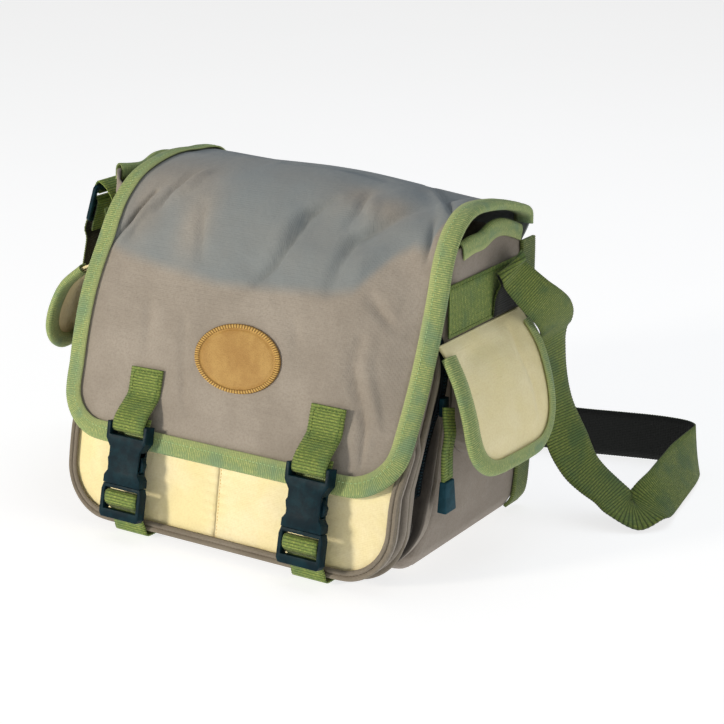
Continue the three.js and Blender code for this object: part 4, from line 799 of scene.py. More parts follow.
flap_tape = tape_piece("flap_binding", (0, 0, -1), (-0.146, 0.11, 0.235), (0, -1, 1))
print("flap binding:", len(flap_tape.data.polygons), "faces")
for side, sign in (("left", -1), ("right", 1)):
    low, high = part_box("side_flap_binding_" + side)
    top_corner = (low.x if sign > 0 else high.x, low.y, high.z)
    tape_piece("side_flap_binding_" + side, (0, 0, 1), top_corner, (sign, 0, 0))
    mouth_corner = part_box("mouth_binding_" + side)[0]
    tape_piece("mouth_binding_" + side, (0, -1, 0), mouth_corner, (sign, 0, 0))
print("five folded tapes")

# %% [markdown]
# ## Webbing
# The closing straps, the side bands and the shoulder strap are flat webbing. Each is read from
# the model along its length, made finer and given real ribs on top of the woven finish, since
# the ribs catch the light at the edges too. Stitches follow routes drawn on the strip itself:
# how far along it and how far across it, in millimetres.

# %% Routes on a fine grid
def on_grid(points, route, step=1.0 * MM):
    """Points and normals along a route, given as (along, across) from a grid's first corner."""
    along = lengths(points[:, points.shape[1] // 2])
    across = lengths(points[len(points) // 2])
    route = np.array(route, float) * MM
    far = lengths(route)
    spots = np.arange(0.0, far[-1] + step / 2, step)
    rows = np.interp(np.interp(spots, far, route[:, 0]), along, np.arange(len(along)))
    columns = np.interp(np.interp(spots, far, route[:, 1]), across, np.arange(len(across)))
    low_row = np.minimum(rows.astype(int), len(along) - 2)
    low_column = np.minimum(columns.astype(int), len(across) - 2)
    down = (rows - low_row)[:, None]
    over = (columns - low_column)[:, None]

    def read(grid):
        near = grid[low_row, low_column] * (1 - over) + grid[low_row, low_column + 1] * over
        far_row = grid[low_row + 1, low_column] * (1 - over) + grid[low_row + 1, low_column + 1] * over
        return near * (1 - down) + far_row * down

    return read(points), read(normals_of(points))


# %% Webbing from a node
WEB_STEP = 0.55 * MM
WEB_RIB = 0.16 * MM
SEAM_STITCH = (2.2 * MM, 0.7 * MM, 0.6 * MM)


def web_piece(
        node, facing, near, out, columns=7, material=webbing, rib=RIB, shade_other_face=False):
    """Rebuilds one strip with its ribs. Returns its fine grid, which faces out, and thickness."""
    rings = stations(node, facing, near)
    rows = facing_out(middle_of(rings), out)
    fine = evened(resampled(rows, 8 * len(rows), columns), WEB_STEP)
    thickness = wall_of(rings)
    made = ribbed(grid_mesh(fine, thickness - 2 * WEB_RIB), rib, WEB_RIB)
    # Marks the strip's other face for the finish's painted shade.
    if shade_other_face:
        tint = made.verts.layers.float.new("tint")
        made.verts.ensure_lookup_table()
        for vert in made.verts[fine.shape[0] * fine.shape[1]:]:
            vert[tint] = 1.0
    keep(made, node + "_strip", material, [node])
    return fine, thickness


def sew(name, fine, thickness, routes, thread, pitch=3.0 * MM, stitch=SEAM_STITCH):
    """Rows of stitches on the outer side of a strip."""
    seam = bmesh.new()
    for route in routes:
        line, normal = on_grid(fine, route)
        stitch_row(seam, line + normal * thickness / 2, normal, pitch, stitch)
    return keep(seam, name, thread)


# %% Closing straps and their lower halves
BOX_TOP, BOX_END, BOX_IN = 3, 27, 3.2
for side in ("left", "right"):
    low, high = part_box("closing_tab_" + side)
    fine, thickness = web_piece("closing_tab_" + side, (0, 0, 1), (low.x, high.y, high.z), (0, -1, 0))
    wide = lengths(fine[40])[-1] / MM
    box_route = [
        (BOX_TOP, BOX_IN), (BOX_TOP, wide - BOX_IN), (BOX_END, wide - BOX_IN), (BOX_END, BOX_IN),
        (BOX_TOP, BOX_IN),
    ]
    sew("closing_tab_" + side + "_stitches", fine, thickness, [box_route], dark_thread)
    low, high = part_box("lower_strap_" + side)
    web_piece("lower_strap_" + side, (0, 1, 0), (low.x, high.y, low.z), (0, -1, -1))
print("a closing strap is", round(wide), "mm wide")

# %% Side bands, back seams and strap
BAND_EDGE = 2.6
for side, sign in (("left", -1), ("right", 1)):
    band = "side_band_" + side
    fine, thickness = web_piece(band, (0, -1, 0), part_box(band)[0], (sign, 0, 0))
    long = lengths(fine[:, 3])[-1] / MM
    wide = lengths(fine[20])[-1] / MM
    edges = [[(2, across), (long - 2, across)] for across in (BAND_EDGE, wide - BAND_EDGE)]
    sew(band + "_stitches", fine, thickness, edges, dark_thread)
    foot = (sign * 0.147, 0.106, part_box("back_binding_" + side)[0].z)
    web_piece(
        "back_binding_" + side, (0, 0, -1), foot, (sign, 0, 0), 9, back_tape, TAPE_RIB)
strap, strap_thickness = web_piece(
    "shoulder_strap", (0, 0, -1), (0.152, 0.071, 0.175), (1, 0, 0), 8, strap_webbing, shade_other_face=True)
web_piece("strap_anchor_left", (0, 0, -1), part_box("strap_anchor_left")[0], (-1, 0, 0))
strap_long = lengths(strap[:, 4])[-1]
print("the strap is", round(strap_long, 2), "m long and", round(strap_thickness / MM, 1), "mm thick")

# %% [markdown]
# ## The front: section and patch pocket
# The zipped section and the beige patch pocket on it are made alike: a flat panel with round
# corners, a gusset round its edge that folds inwards like bellows, and an edging over the seam.
# The panel's outline is drawn once in x and z. How far forward each point lies is read from the
# model with rays, so the new cloth has the model's lean and shape.

# %% Outlines and depths
FRONT_SHIFT = 4.0 * MM
CLOTH = 2.0 * MM
GUSSET_CLOTH = 1.6 * MM
FACE_ROWS, FACE_COLUMNS = 150, 210
POCKET_FOLDS = 22
SECTION_COLUMNS = 44


def tree_of(node):
    shape = merged(node)
    tree = BVHTree.FromBMesh(shape)
    shape.free()
    return tree


def round_outline(half, low, high, low_corner, high_corner, step=2.0):
    """The (x, z) points of a panel's edge in millimetres, from its top clockwise to its top."""
    turn = np.linspace(0, math.pi / 2, 30)
    sine, cosine = np.sin(turn), np.cos(turn)
    right_side = [[half, high]]
    if high_corner:
        arc = zip(half + high_corner * (sine - 1), high + high_corner * (cosine - 1))
        right_side = [[0, high], *arc]
    right_side += zip(half + low_corner * (cosine - 1), low + low_corner * (1 - sine))
    right_side = np.array([*right_side, [0, low]], float)
    whole = np.concatenate([right_side, right_side[::-1][1:] * (-1, 1)])
    far = lengths(whole)
    spots = np.linspace(0, far[-1], round(far[-1] / step) + 1)
    even = np.stack([np.interp(spots, far, whole[:, k]) for k in (0, 1)], axis=1)
    return even * MM


def outward_of(line):
    """The outward direction at each point of an outline that runs clockwise."""
    way = np.gradient(line, axis=0)
    out = np.stack([-way[:, 1], way[:, 0]], axis=1)
    return out / np.maximum(np.linalg.norm(out, axis=1, keepdims=True), 1e-9)


def depth_at(tree, x, z, from_behind=False):
    start = Vector((x, 0.4 if from_behind else -0.4, z))
    hit = tree.ray_cast(start, Vector((0, -1 if from_behind else 1, 0)))[0]
    return hit.y if hit else None


def filled(values):
    """Replaces the missing values of a row by their nearest neighbours."""
    have = [k for k, v in enumerate(values) if v is not None]
    return np.interp(np.arange(len(values)), have, [values[k] for k in have])


def panel(outline_line, tree, rows, columns, inset=1.5 * MM, edge=CLOTH / 2):
    """A panel's grid inside an outline: rows by height, columns from left to right."""
    right_edge = outline_line[outline_line[:, 0] >= 0]
    order = np.argsort(right_edge[:, 1], kind="stable")
    edge_z, edge_x = right_edge[order, 1], right_edge[order, 0]
    even = np.linspace(0, 1, rows)
    share = ((1 - np.cos(math.pi * even)) / 2 + even) / 2
    heights = edge_z[0] + edge + (edge_z[-1] - edge_z[0] - 2 * edge) * share
    points = np.zeros((rows, columns, 3))
    for row, z in enumerate(heights):
        half = max(np.interp(z, edge_z, edge_x) - edge, 1 * MM)
        xs = FRONT_SHIFT + half * np.linspace(-1, 1, columns)
        reach = FRONT_SHIFT + (half - inset) * np.linspace(-1, 1, columns)
        z_in = min(max(z, edge_z[0] + inset), edge_z[-1] - inset)
        ys = filled([depth_at(tree, x, z_in) for x in reach])
        points[row, :, 0] = xs
        points[row, :, 1] = ys + CLOTH / 2
        points[row, :, 2] = z
    return points


trees = {node: tree_of(node) for node in ("front_pocket", "front_section", "main_body")}
pocket_outline = round_outline(151, 6, 150, 42, 0)
section_outline = round_outline(149, 3, 204, 40, 60)
pocket_outline[:, 0] *= 1 - 0.03 * fade(pocket_outline[:, 1], 98 * MM, 114 * MM)
print("outlines of", len(pocket_outline), "and", len(section_outline), "points")

# %% [markdown]
# The patch pocket holds a little air: two soft cushions, left and right of the seam that divides
# it. The seam pulls the cloth in to a groove, darkened further with painted shade, and small
# puckers run out from it. Painted shade also darkens the face's rim, where it meets the edging.

# %% Face of the patch pocket
SEAM_X = -3.5 * MM
PUFF = 2.6 * MM

pocket_face = panel(pocket_outline, trees["front_pocket"], FACE_ROWS, FACE_COLUMNS)
across_share = np.linspace(-1, 1, FACE_COLUMNS)[None, :]
up_share = ((pocket_face[..., 2] - pocket_face[..., 2].min()) / np.ptp(pocket_face[..., 2]))
from_seam = np.abs(pocket_face[..., 0] - SEAM_X)
round_edge = fade(1 - np.abs(across_share), 0.0, 0.22) * fade(up_share, 0.02, 0.3)
puff = PUFF * round_edge * (0.25 + 0.75 * fade(from_seam, 0.0, 30 * MM))
puff *= 1 - 0.35 * fade(up_share, 0.6, 1.0)
puckers = 0.35 * MM * np.sin(pocket_face[..., 2] / (7 * MM) * 2 * math.pi)
puff += puckers * np.exp(-(from_seam / (9 * MM)) ** 2) * fade(from_seam, 0.0, 2.5 * MM)
groove = 1.6 * MM * np.exp(-(from_seam / (1.3 * MM)) ** 2)
# Painted shade: a band along the face's rim and a line in the seam's groove.
face_rim_shade = 1 - fade((1 - np.abs(across_share)) * 151 * MM, 0.6 * MM, 4.5 * MM)
face_rim_shade = np.maximum(face_rim_shade, 1 - fade(pocket_face[..., 2], 8.5 * MM, 11.5 * MM))
face_painted_shade = np.maximum(0.55 * face_rim_shade, 0.95 * np.exp(-(from_seam / (0.9 * MM)) ** 2))
POCKET_CREASES = [
    ([(-130, 70), (-122, 40), (-104, 22)], 7.0, 0.9),
    ([(-60, 62), (-40, 44), (-28, 24)], 10.0, 0.9),
    ([(24, 62), (30, 40), (22, 20)], 9.0, 0.8),
    ([(112, 64), (122, 44), (128, 32)], 7.0, 0.9),
    ([(50, 20), (62, 40), (64, 60)], 10.0, 0.8),
]
pressed = press(pocket_face, pocket_face[..., [0, 2]], POCKET_CREASES)
pocket_face[..., 1] -= puff - groove + pressed * round_edge
face_shape = grid_mesh(pocket_face, CLOTH, tint=face_painted_shade)
face = keep(face_shape, "front_pocket_face", painted_shade_beige, ["front_pocket"])

stitched_x = SEAM_X + 2.4 * MM
seam_line = np.array([
    [np.interp(stitched_x, row[:, 0], row[:, k]) for k in range(3)] for row in pocket_face[6:-20]])
seam_line[:, 1] -= CLOTH / 2
seam = bmesh.new()
stitch_row(seam, seam_line, np.tile([0.0, -1.0, 0.0], (len(seam_line), 1)), 2.6 * MM, SEAM_STITCH)
keep(seam, "front_pocket_seam", gold_thread)
print("the pocket's face has", len(face.data.polygons), "faces")

# %% Gussets
def gusset(line, front, back, fold, columns):
    """Bellows round an outline. front and back are depths, fold(share, z) how far it folds in."""
    out = outward_of(line)
    shares = np.linspace(0, 1, columns)
    points = np.zeros((len(line), columns, 3))
    for row, ((x, z), way) in enumerate(zip(line, out)):
        inward = np.array([fold(share, z) for share in shares]) + CLOTH / 2
        points[row, :, 0] = x + FRONT_SHIFT - way[0] * inward
        points[row, :, 1] = front[row] + (back[row] - front[row]) * shares
        points[row, :, 2] = z - way[1] * inward
    return points


def edge_depths(line, tree, inset, from_behind=False):
    inner = line - outward_of(line) * inset
    return filled([depth_at(tree, x + FRONT_SHIFT, z, from_behind) for x, z in inner])


def dip(share, start, full, end_full, end):
    return fade(share, start, full) * (1 - fade(share, end_full, end))


pocket_front = edge_depths(pocket_outline, trees["front_pocket"], 2 * MM)
pocket_back = edge_depths(pocket_outline, trees["front_pocket"], 2 * MM, from_behind=True)


def valley(share, middle, half):
    """1 in the middle of a fold and 0 at its ends, with a sharp bottom."""
    return max(0.0, 1 - abs(share - middle) / half) ** 0.8


def painted_fold_shade(line, fold, columns, full):
    """Painted shade of a gusset: 1 where it folds in by `full` metres, and painted shadow behind there to
    its back.
    """
    shares = np.linspace(0, 1, columns)
    dark = np.array([[min(1.0, fold(share, z) / full) ** 0.8 for share in shares] for x, z in line])
    shadow = np.maximum.accumulate(dark, axis=1) * (1 - fade(shares, 0.72, 0.84))
    return np.maximum(dark, shadow)


def pocket_fold(share, z):
    return 12 * MM * valley(share, 0.5, 0.4)


pocket_sides = gusset(pocket_outline, pocket_front, pocket_back, pocket_fold, POCKET_FOLDS)
# Painted shade in the pocket's folds and behind them.
pocket_painted_shade = painted_fold_shade(pocket_outline, pocket_fold, POCKET_FOLDS, 8 * MM)
gusset_shape = grid_mesh(pocket_sides, GUSSET_CLOTH, tint=pocket_painted_shade)
keep(gusset_shape, "front_pocket_gusset", painted_shade_taupe, ["front_pocket"])
print("the pocket is", round((pocket_back - pocket_front).max() / MM), "mm deep")

# %% The zipped section
section_face = panel(section_outline, trees["front_section"], 120, 90)
keep(grid_mesh(section_face, CLOTH), "front_section_face", taupe, ["front_section"])

section_front = edge_depths(section_outline, trees["front_section"], 3 * MM)
section_back = filled([
    depth_at(trees["main_body"], 0.0, min(max(z, 12 * MM), 225 * MM)) for x, z in section_outline])
section_back = section_back - 1.4 * MM


def section_fold(share, z):
    """A wide valley low down, in which the zip ends, and a narrow one against the body."""
    wide = 9.5 * MM * dip(share, 0.2, 0.3, 0.68, 0.76) * (1 - fade(z, 96 * MM, 138 * MM))
    ridge = 6 * MM * valley(share, 0.46, 0.12) * (1 - fade(z, 40 * MM, 56 * MM))
    behind = 13 * MM * valley(share, 0.9, 0.1) * fade(z, 50 * MM, 75 * MM)
    return max(wide - ridge, behind)


section_sides = gusset(section_outline, section_front, section_back, section_fold, SECTION_COLUMNS)
# Painted shade in the section's folds and behind them.
section_painted_shade = painted_fold_shade(section_outline, section_fold, SECTION_COLUMNS, 8 * MM)
# Painted shadow of the flap, over the front of the section's bellows high up.
painted_flap_shadow = fade(section_outline[:, 1], 92 * MM, 118 * MM)[:, None]
in_front = np.linspace(0, 1, SECTION_COLUMNS) < 0.62
section_painted_shade = np.maximum(section_painted_shade, 0.85 * painted_flap_shadow * in_front)
gusset_shape = grid_mesh(section_sides, GUSSET_CLOTH, tint=section_painted_shade, around=True)
keep(gusset_shape, "front_section_gusset", painted_shade_taupe, ["front_section"])
print("the section is", round((section_back - section_front).max() / MM), "mm deep at most")

# %% [markdown]
# The edging is a double piping of the same canvas: two cords side by side over the seam, sewn
# down in the groove between them. Such a section is swept as a closed grid. A single piping
# marks the seam where the section's front meets its bellows.

# %% Edging and piping
def swept(centres, across, out, profile):
    """Sweeps a closed profile of (across, out) shares along a line of half widths and heights."""
    rings = [centres + across * a + out * b for a, b in profile]
    return np.stack([*rings, rings[0]], axis=1)


def oval(count):
    """A rather square oval section."""
    turns = np.linspace(0, 2 * math.pi, count, endpoint=False)
    wide = np.sign(np.cos(turns)) * np.abs(np.cos(turns)) ** 0.7
    tall = np.sign(np.sin(turns)) * np.abs(np.sin(turns)) ** 0.8
    return list(zip(wide, tall))


def two_cords(count):
    """The section of two cords side by side."""
    wide = np.linspace(1, -1, count)
    tall = np.sqrt(np.clip(1 - ((np.abs(wide) - 0.5) / 0.5) ** 2, 0, 1))
    below = -0.6 * (1 - wide**4)
    return [*zip(wide, tall - 0.1), *zip(wide[-2:0:-1], below[-2:0:-1])]


def close_ends(shape):
    """Caps the open ends of a swept tube."""
    rims = [e for e in shape.edges if e.is_boundary]
    bmesh.ops.holes_fill(shape, edges=rims, sides=0)
    bmesh.ops.recalc_face_normals(shape, faces=shape.faces[:])
    return shape


edging_rings = stations("front_pocket_edging", (0, 0, 1), (0.151, -0.064, 0.111))
edging_rows = facing_out(middle_of(edging_rings), (0, -1, 0))
edging_rows = evened(resampled(edging_rows, 5 * len(edging_rows), 2), 2.0 * MM)
edging_middle = edging_rows.mean(axis=1)
half_across = (edging_rows[:, 0] - edging_rows[:, 1]) / 2
edging_out = np.tile([0.0, -1.7 * MM, 0.0], (len(edging_rows), 1))
edging = swept(edging_middle, half_across, edging_out, two_cords(25))
edging_shape = close_ends(grid_mesh(edging, 0, around=True))
keep(edging_shape, "front_pocket_edging_strip", edging_taupe, ["front_pocket_edging"])

piping_line = section_outline - outward_of(section_outline) * 0.6 * MM
piping_middle = np.stack(
    [piping_line[:, 0] + FRONT_SHIFT, section_front + 0.5 * MM, piping_line[:, 1]], axis=1)
piping_across = outward_of(section_outline) * 2.3 * MM
piping_across = np.stack([piping_across[:, 0], np.zeros(len(piping_across)), piping_across[:, 1]], axis=1)
piping_out = np.tile([0.0, -1.7 * MM, 0.0], (len(piping_line), 1))
piping = swept(piping_middle, piping_across, piping_out, oval(14))
piping_shape = grid_mesh(piping, 0, around=True)
keep(piping_shape, "front_section_piping", edging_taupe, ["front_section"])
seam = bmesh.new()
stitch_row(seam, edging_middle + edging_out * 0.05, edging_out, 2.8 * MM, (1.9 * MM, 0.6 * MM, 0.5 * MM))
keep(seam, "front_pocket_edging_stitches", brown_thread)
print("edging", round(2 * np.linalg.norm(half_across[10]) / MM, 1), "mm wide")

# %% [markdown]
# ## Zip
# A coil zip runs up one side of the section's bellows, over the top and down the other. Its tape
# is dark polyester and its teeth are small: each one here is an oval lying across the tape. The
# slider carries a doubled webbing pull that ends in a moulded rubber grip.

# %% Zip tape and teeth
TOOTH_PITCH = 2.4 * MM
TOOTH = (1.5 * MM, 4.2 * MM, 1.4 * MM)

zip_rings = stations("front_section_zip", (0, 0, -1), (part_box("front_section_zip")[1].x, -0.05, 0.062))
zip_rows = facing_out(middle_of(zip_rings), (0, 0, 1))
zip_fine = evened(resampled(zip_rows, 6 * len(zip_rows), 9), 2.0 * MM)
keep(grid_mesh(zip_fine, 1.2 * MM), "front_section_zip_tape", zip_tape, ["front_section_zip"])
teeth = bmesh.new()
zip_wide = lengths(zip_fine[30])[-1] / MM
zip_long = lengths(zip_fine[:, 4])[-1] / MM
tooth_line, tooth_out = on_grid(zip_fine, [(1, zip_wide / 2), (zip_long - 1, zip_wide / 2)])
stitch_row(teeth, tooth_line + tooth_out * 0.7 * MM, tooth_out, TOOTH_PITCH, TOOTH)
keep(teeth, "front_section_zip_teeth", plastic)
low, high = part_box("zip_pull")
pull, pull_thickness = web_piece("zip_pull", (0, 0, 1), (low.x, high.y, high.z), (1, -1, 0), 7)
pull_wide = lengths(pull[10])[-1] / MM
pull_long = lengths(pull[:, 3])[-1] / MM
sew("zip_pull_stitches", pull, pull_thickness, [[(20, pull_wide / 2), (pull_long - 3, pull_wide / 2)]],
    dark_thread, 2.4 * MM, (1.7 * MM, 1.1 * MM, 0.7 * MM))
print("the zip is", round(zip_long), "mm long")

# %% [markdown]
# ## Leather patch
# An oval patch of split leather, its edge whipped all round with thick thread, so the border
# looks ribbed. A grid in polar form makes that easy: rows go from the middle to the rim and
# columns round it, and each rib is a wave in the angle.

# %% The patch
PATCH_RIBS = 92
PATCH_ROWS = 32
PATCH_COLUMNS = PATCH_RIBS * 4
PATCH_THICKNESS = 1.8 * MM

patch_low, patch_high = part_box("leather_patch")
patch_tree = tree_of("leather_patch")
patch_shares = np.linspace(0.02, 1, PATCH_ROWS) ** 0.8
patch_turns = np.linspace(0, 2 * math.pi, PATCH_COLUMNS + 1)
patch_grid = np.zeros((PATCH_ROWS, PATCH_COLUMNS + 1, 3))
for row, share in enumerate(patch_shares):
    for column, angle in enumerate(patch_turns):
        x = (patch_low.x + patch_high.x) / 2 + share * math.cos(angle) * (patch_high.x - patch_low.x) / 2
        z = (patch_low.z + patch_high.z) / 2 + share * math.sin(angle) * (patch_high.z - patch_low.z) / 2
        pull_in = min(share, 0.97) / share
        middle_z = (patch_low.z + patch_high.z) / 2
        hit_y = depth_at(patch_tree, 0.001 + (x - 0.001) * pull_in, middle_z + (z - middle_z) * pull_in)
        patch_grid[row, column] = (x, hit_y, z)
border = dip(patch_shares[:, None], 0.87, 0.9, 0.985, 1.01)
inner_dip = np.exp(-((patch_shares[:, None] - 0.85) / 0.025) ** 2)
ribs = 0.5 + 0.5 * np.cos(patch_turns[None, :] * PATCH_RIBS)
relief_of = border * (0.2 + 0.9 * ribs) * MM - inner_dip * 0.5 * MM
rim_round = fade(patch_shares[:, None], 0.97, 1.0) * 0.7 * MM
patch_grid[..., 1] += PATCH_THICKNESS / 2 - relief_of + rim_round
patch_shape = grid_mesh(patch_grid, 0, tint=border * (0.25 + 0.75 * ribs), around=True)
patch_centre = (patch_low + patch_high) / 2
centre_hole = [
    e for e in patch_shape.edges
    if e.is_boundary and abs(e.verts[0].co.x - patch_centre.x) < 10 * MM]
bmesh.ops.holes_fill(patch_shape, edges=centre_hole, sides=0)
bmesh.ops.solidify(patch_shape, geom=patch_shape.faces[:], thickness=PATCH_THICKNESS)
bmesh.ops.recalc_face_normals(patch_shape, faces=patch_shape.faces[:])
copy_tint(patch_shape)
keep(patch_shape, "leather_patch_oval", tan_leather, ["leather_patch"])
print("the patch is", [round(v / MM) for v in patch_high - patch_low], "mm")

# %% [markdown]
# ## Main compartment
# The body is one tall shell of canvas, open at the top. Rays from outside towards an upright
# line in its middle read the model's wall ring by ring. Real canvas that stands empty is never
# flat, so it gets long soft folds from a noise that is stretched upwards. The folds sink in
# further than they stand out, and they fade out towards the base and the rim.

# %% Reading an upright shell
def shell_points(tree, middles, angles, heights):
    """Points of an upright shell, seen from outside. heights has a row for each ring."""
    points = np.zeros((*heights.shape, 3))
    middles = np.broadcast_to(middles, (len(heights), 2))
    for row, (ring, middle) in enumerate(zip(heights, middles)):
        hits = []
        for angle, z in zip(angles, ring):
            way = Vector((math.cos(angle), math.sin(angle), 0.0))
            hits.append(tree.ray_cast(Vector((*middle, z)) + way * 0.5, -way)[0])
        for k in range(3):
            points[row, :, k] = filled([hit[k] if hit else None for hit in hits])
    points[..., 2] = heights
    return points


def rumple(points, size, depth, stretch=1.0, seed=0.0):
    """How far smooth noise moves a grid along its normals, its features `stretch` times as tall."""
    move = np.zeros(points.shape[:2])
    for row in range(points.shape[0]):
        for column in range(points.shape[1]):
            x, y, z = points[row, column] / size
            move[row, column] = smooth_noise(Vector((x + seed, y, z / stretch)))
    return move * depth


BODY_MIDDLE = (-0.008, 0.042)
BODY_COLUMNS = 240
BODY_ROWS = 84
BODY_TURNS = 721

shape = merged("main_body")
rim = {v for f in shape.faces if f.normal.z > 0.6 and f.calc_center_median().z > 0.2 for v in f.verts}
rim_points = np.array([v.co[:] for v in rim])
shape.free()
rim_angles = np.arctan2(rim_points[:, 1] - BODY_MIDDLE[1], rim_points[:, 0] - BODY_MIDDLE[0])
order = np.argsort(rim_angles)

turns = np.linspace(-math.pi, math.pi, BODY_TURNS)
loop = shell_points(trees["main_body"], BODY_MIDDLE, turns, np.full((1, BODY_TURNS), 0.12))[0]
far = lengths(loop)
body_angles = np.interp(np.linspace(0, far[-1], BODY_COLUMNS + 1), far, turns)
body_tops = np.interp(body_angles, rim_angles[order], rim_points[order, 2], period=2 * math.pi)
body_shares = np.concatenate([[0, 0.01, 0.022, 0.036], np.linspace(0.05, 1, BODY_ROWS - 4)])
body_heights = 2.2 * MM + body_shares[:, None] * (body_tops[None, :] - 2.8 * MM)
body_points = shell_points(trees["main_body"], BODY_MIDDLE, body_angles, body_heights)
print("the mouth is", round(body_tops.min() / MM), "to", round(body_tops.max() / MM), "mm high")

# %% Folds of the body
body_out = normals_of(body_points)
outside = (body_out[..., :2] * (body_points[..., :2] - BODY_MIDDLE)).sum() > 0
body_out = body_out if outside else -body_out
loose = fade(body_shares[:, None], 0.03, 0.16) * (1 - fade(body_shares[:, None], 0.9, 1.0))
body_move = rumple(body_points, 0.045, 2.4 * MM, 2.6) + rumple(body_points, 0.016, 0.7 * MM, 2.0, 7.0)
body_move = np.where(body_move > 0, body_move * 0.45, body_move) * loose
body_points += body_out * (body_move - CLOTH / 2)[..., None]

# The base: rings that shrink towards its middle, flat on the ground.
base_middle = np.array([*BODY_MIDDLE, 0.0])
base_rings = []
for share in (0.01, 0.2, 0.4, 0.6, 0.75, 0.87, 0.94, 0.985):
    ring = base_middle + (body_points[0] - base_middle) * share
    ring[:, 2] = CLOTH / 2 + 0.1 * MM
    base_rings.append(ring)
body_shape = grid_mesh(np.concatenate([base_rings, body_points]), 0, around=True)
hole = [e for e in body_shape.edges if e.is_boundary and e.verts[0].co.z < 0.05]
bmesh.ops.holes_fill(body_shape, edges=hole, sides=0)
bmesh.ops.recalc_face_normals(body_shape, faces=body_shape.faces[:])
for vert in body_shape.verts:
    vert.co += vert.normal * CLOTH / 2
bmesh.ops.solidify(body_shape, geom=body_shape.faces[:], thickness=CLOTH)
bmesh.ops.recalc_face_normals(body_shape, faces=body_shape.faces[:])
body = keep(body_shape, "main_body_canvas", body_taupe, ["main_body"])
print("the body has", len(body.data.polygons), "faces")

# %% [markdown]
# ## Side pockets and their flaps
# Each side has a round-bottomed pocket under a beige flap. The pocket is read like the body, by
# a fan of rays from the panel outwards. Its flap is a sheet that hangs from the seam under the
# side band, pushed out by what is in the pocket, with a few soft folds pressed into it.

# %% Side pockets
POCKET_COLUMNS = 90
POCKET_ROWS = 50

for side, sign in (("left", -1), ("right", 1)):
    node = "side_pocket_" + side
    low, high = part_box(node)
    fan = np.linspace(-math.pi / 2, math.pi / 2, POCKET_COLUMNS) * 0.985
    fan = fan if sign > 0 else math.pi - fan
    levels = np.linspace(0.3 * MM, high.z - low.z - 0.3 * MM, POCKET_ROWS) + low.z
    middle_y = (low.y + high.y) / 2
    toward = Vector((-sign, 0, 0))
    panel_x = [trees["main_body"].ray_cast(Vector((sign * 0.4, middle_y, z)), toward)[0].x for z in levels]
    middles = [(x + sign * 0.8 * MM, middle_y) for x in panel_x]
    wall = shell_points(tree_of(node), middles, fan, np.tile(levels[:, None], (1, POCKET_COLUMNS)))
    wall = facing_out(wall, (sign, 0, 0))
    across_at = np.linspace(0, 1, POCKET_COLUMNS)
    inside_edge = fade(across_at, 0.0, 0.12) * fade(1 - across_at, 0.0, 0.12)
    crumple = rumple(wall, 0.024, 1.6 * MM, 1.6, 3.0) * inside_edge[None, :]
    wall += normals_of(wall) * (np.minimum(crumple, 0.5 * MM) - CLOTH / 2)[..., None]
    under = []
    root = np.array([wall[0, [0, -1], 0].mean(), middle_y, wall[0, :, 2].mean()])
    for share in (0.08, 0.35, 0.6, 0.82):
        under.append(root + (wall[0] - root) * share)
    pocket_shape = grid_mesh(np.concatenate([under, wall]), CLOTH)
    pocket_piece = keep(pocket_shape, node + "_canvas", body_taupe, [node])
print("a side pocket has", len(pocket_piece.data.polygons), "faces")

# %% Flaps of the side pockets
# Routes are (back from the front edge, down from the seam) in millimetres.
SIDE_CREASES = {
    "right": [
        ([(96, 6), (92, 30), (96, 58), (92, 84)], 5.0, 2.2),
        ([(84, 10), (80, 40), (84, 80)], 7.0, -1.5),
        ([(30, 12), (22, 40), (34, 70)], 11.0, 1.3),
        ([(58, 40), (62, 64), (56, 88)], 9.0, 1.0),
        ([(12, 20), (44, 14), (80, 18)], 7.0, 0.9),
    ],
    "left": [
        ([(30, 14), (24, 44), (34, 76)], 8.0, 2.0),
        ([(80, 10), (76, 40), (82, 80)], 8.0, 1.6),
        ([(50, 16), (56, 40), (48, 60)], 9.0, -1.2),
    ],
}
SIDE_ROWS, SIDE_COLUMNS = 90, 110
for side, sign in (("left", -1), ("right", 1)):
    node = "side_pocket_flap_" + side
    low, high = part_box(node)
    seam_end = (low.x if sign > 0 else high.x, (low.y + high.y) / 2, high.z)
    rows = middle_of(stations(node, (-sign, 0, 0.5), seam_end))
    rows = rows if rows[0, :, 2].mean() > rows[-1, :, 2].mean() else rows[::-1]
    rows = rows if rows[0, 0, 1] < rows[0, -1, 1] else rows[:, ::-1]
    fine = resampled(rows, SIDE_ROWS, SIDE_COLUMNS)
    out = normals_of(fine)
    out = out if out[..., 0].mean() * sign > 0 else -out
    down = np.array([lengths(fine[:, k]) for k in range(SIDE_COLUMNS)]).T
    back_from = np.array([lengths(fine[k]) for k in range(SIDE_ROWS)])
    places = np.stack([back_from, down], axis=2)
    move = press(fine, places, SIDE_CREASES[side]) + rumple(fine, 0.03, 0.8 * MM, 1.8, 5.0)
    rim_keep = fade(back_from, 0.006, 0.022) * fade(back_from[:, -1:] - back_from, 0.006, 0.022)
    rim_keep = rim_keep * fade(down, 0.002, 0.016) * fade(down[-1:] - down, 0.006, 0.022)
    fine = fine + out * (move * rim_keep)[..., None]
    flap_piece = keep(grid_mesh(fine, CLOTH), node + "_cloth", beige, [node])

# %% [markdown]
# ## Buckles, sliders and the pull's grip
# These are moulded, so what they need is round edges. A copy of the model's mesh has its
# doubles merged and its flat triangles joined, and its edges are then bevelled by half a
# millimetre, which is what a mould leaves. The rubber grip narrows towards its top.

# %% Moulded pieces
EDGE_ROUND = 0.55 * MM


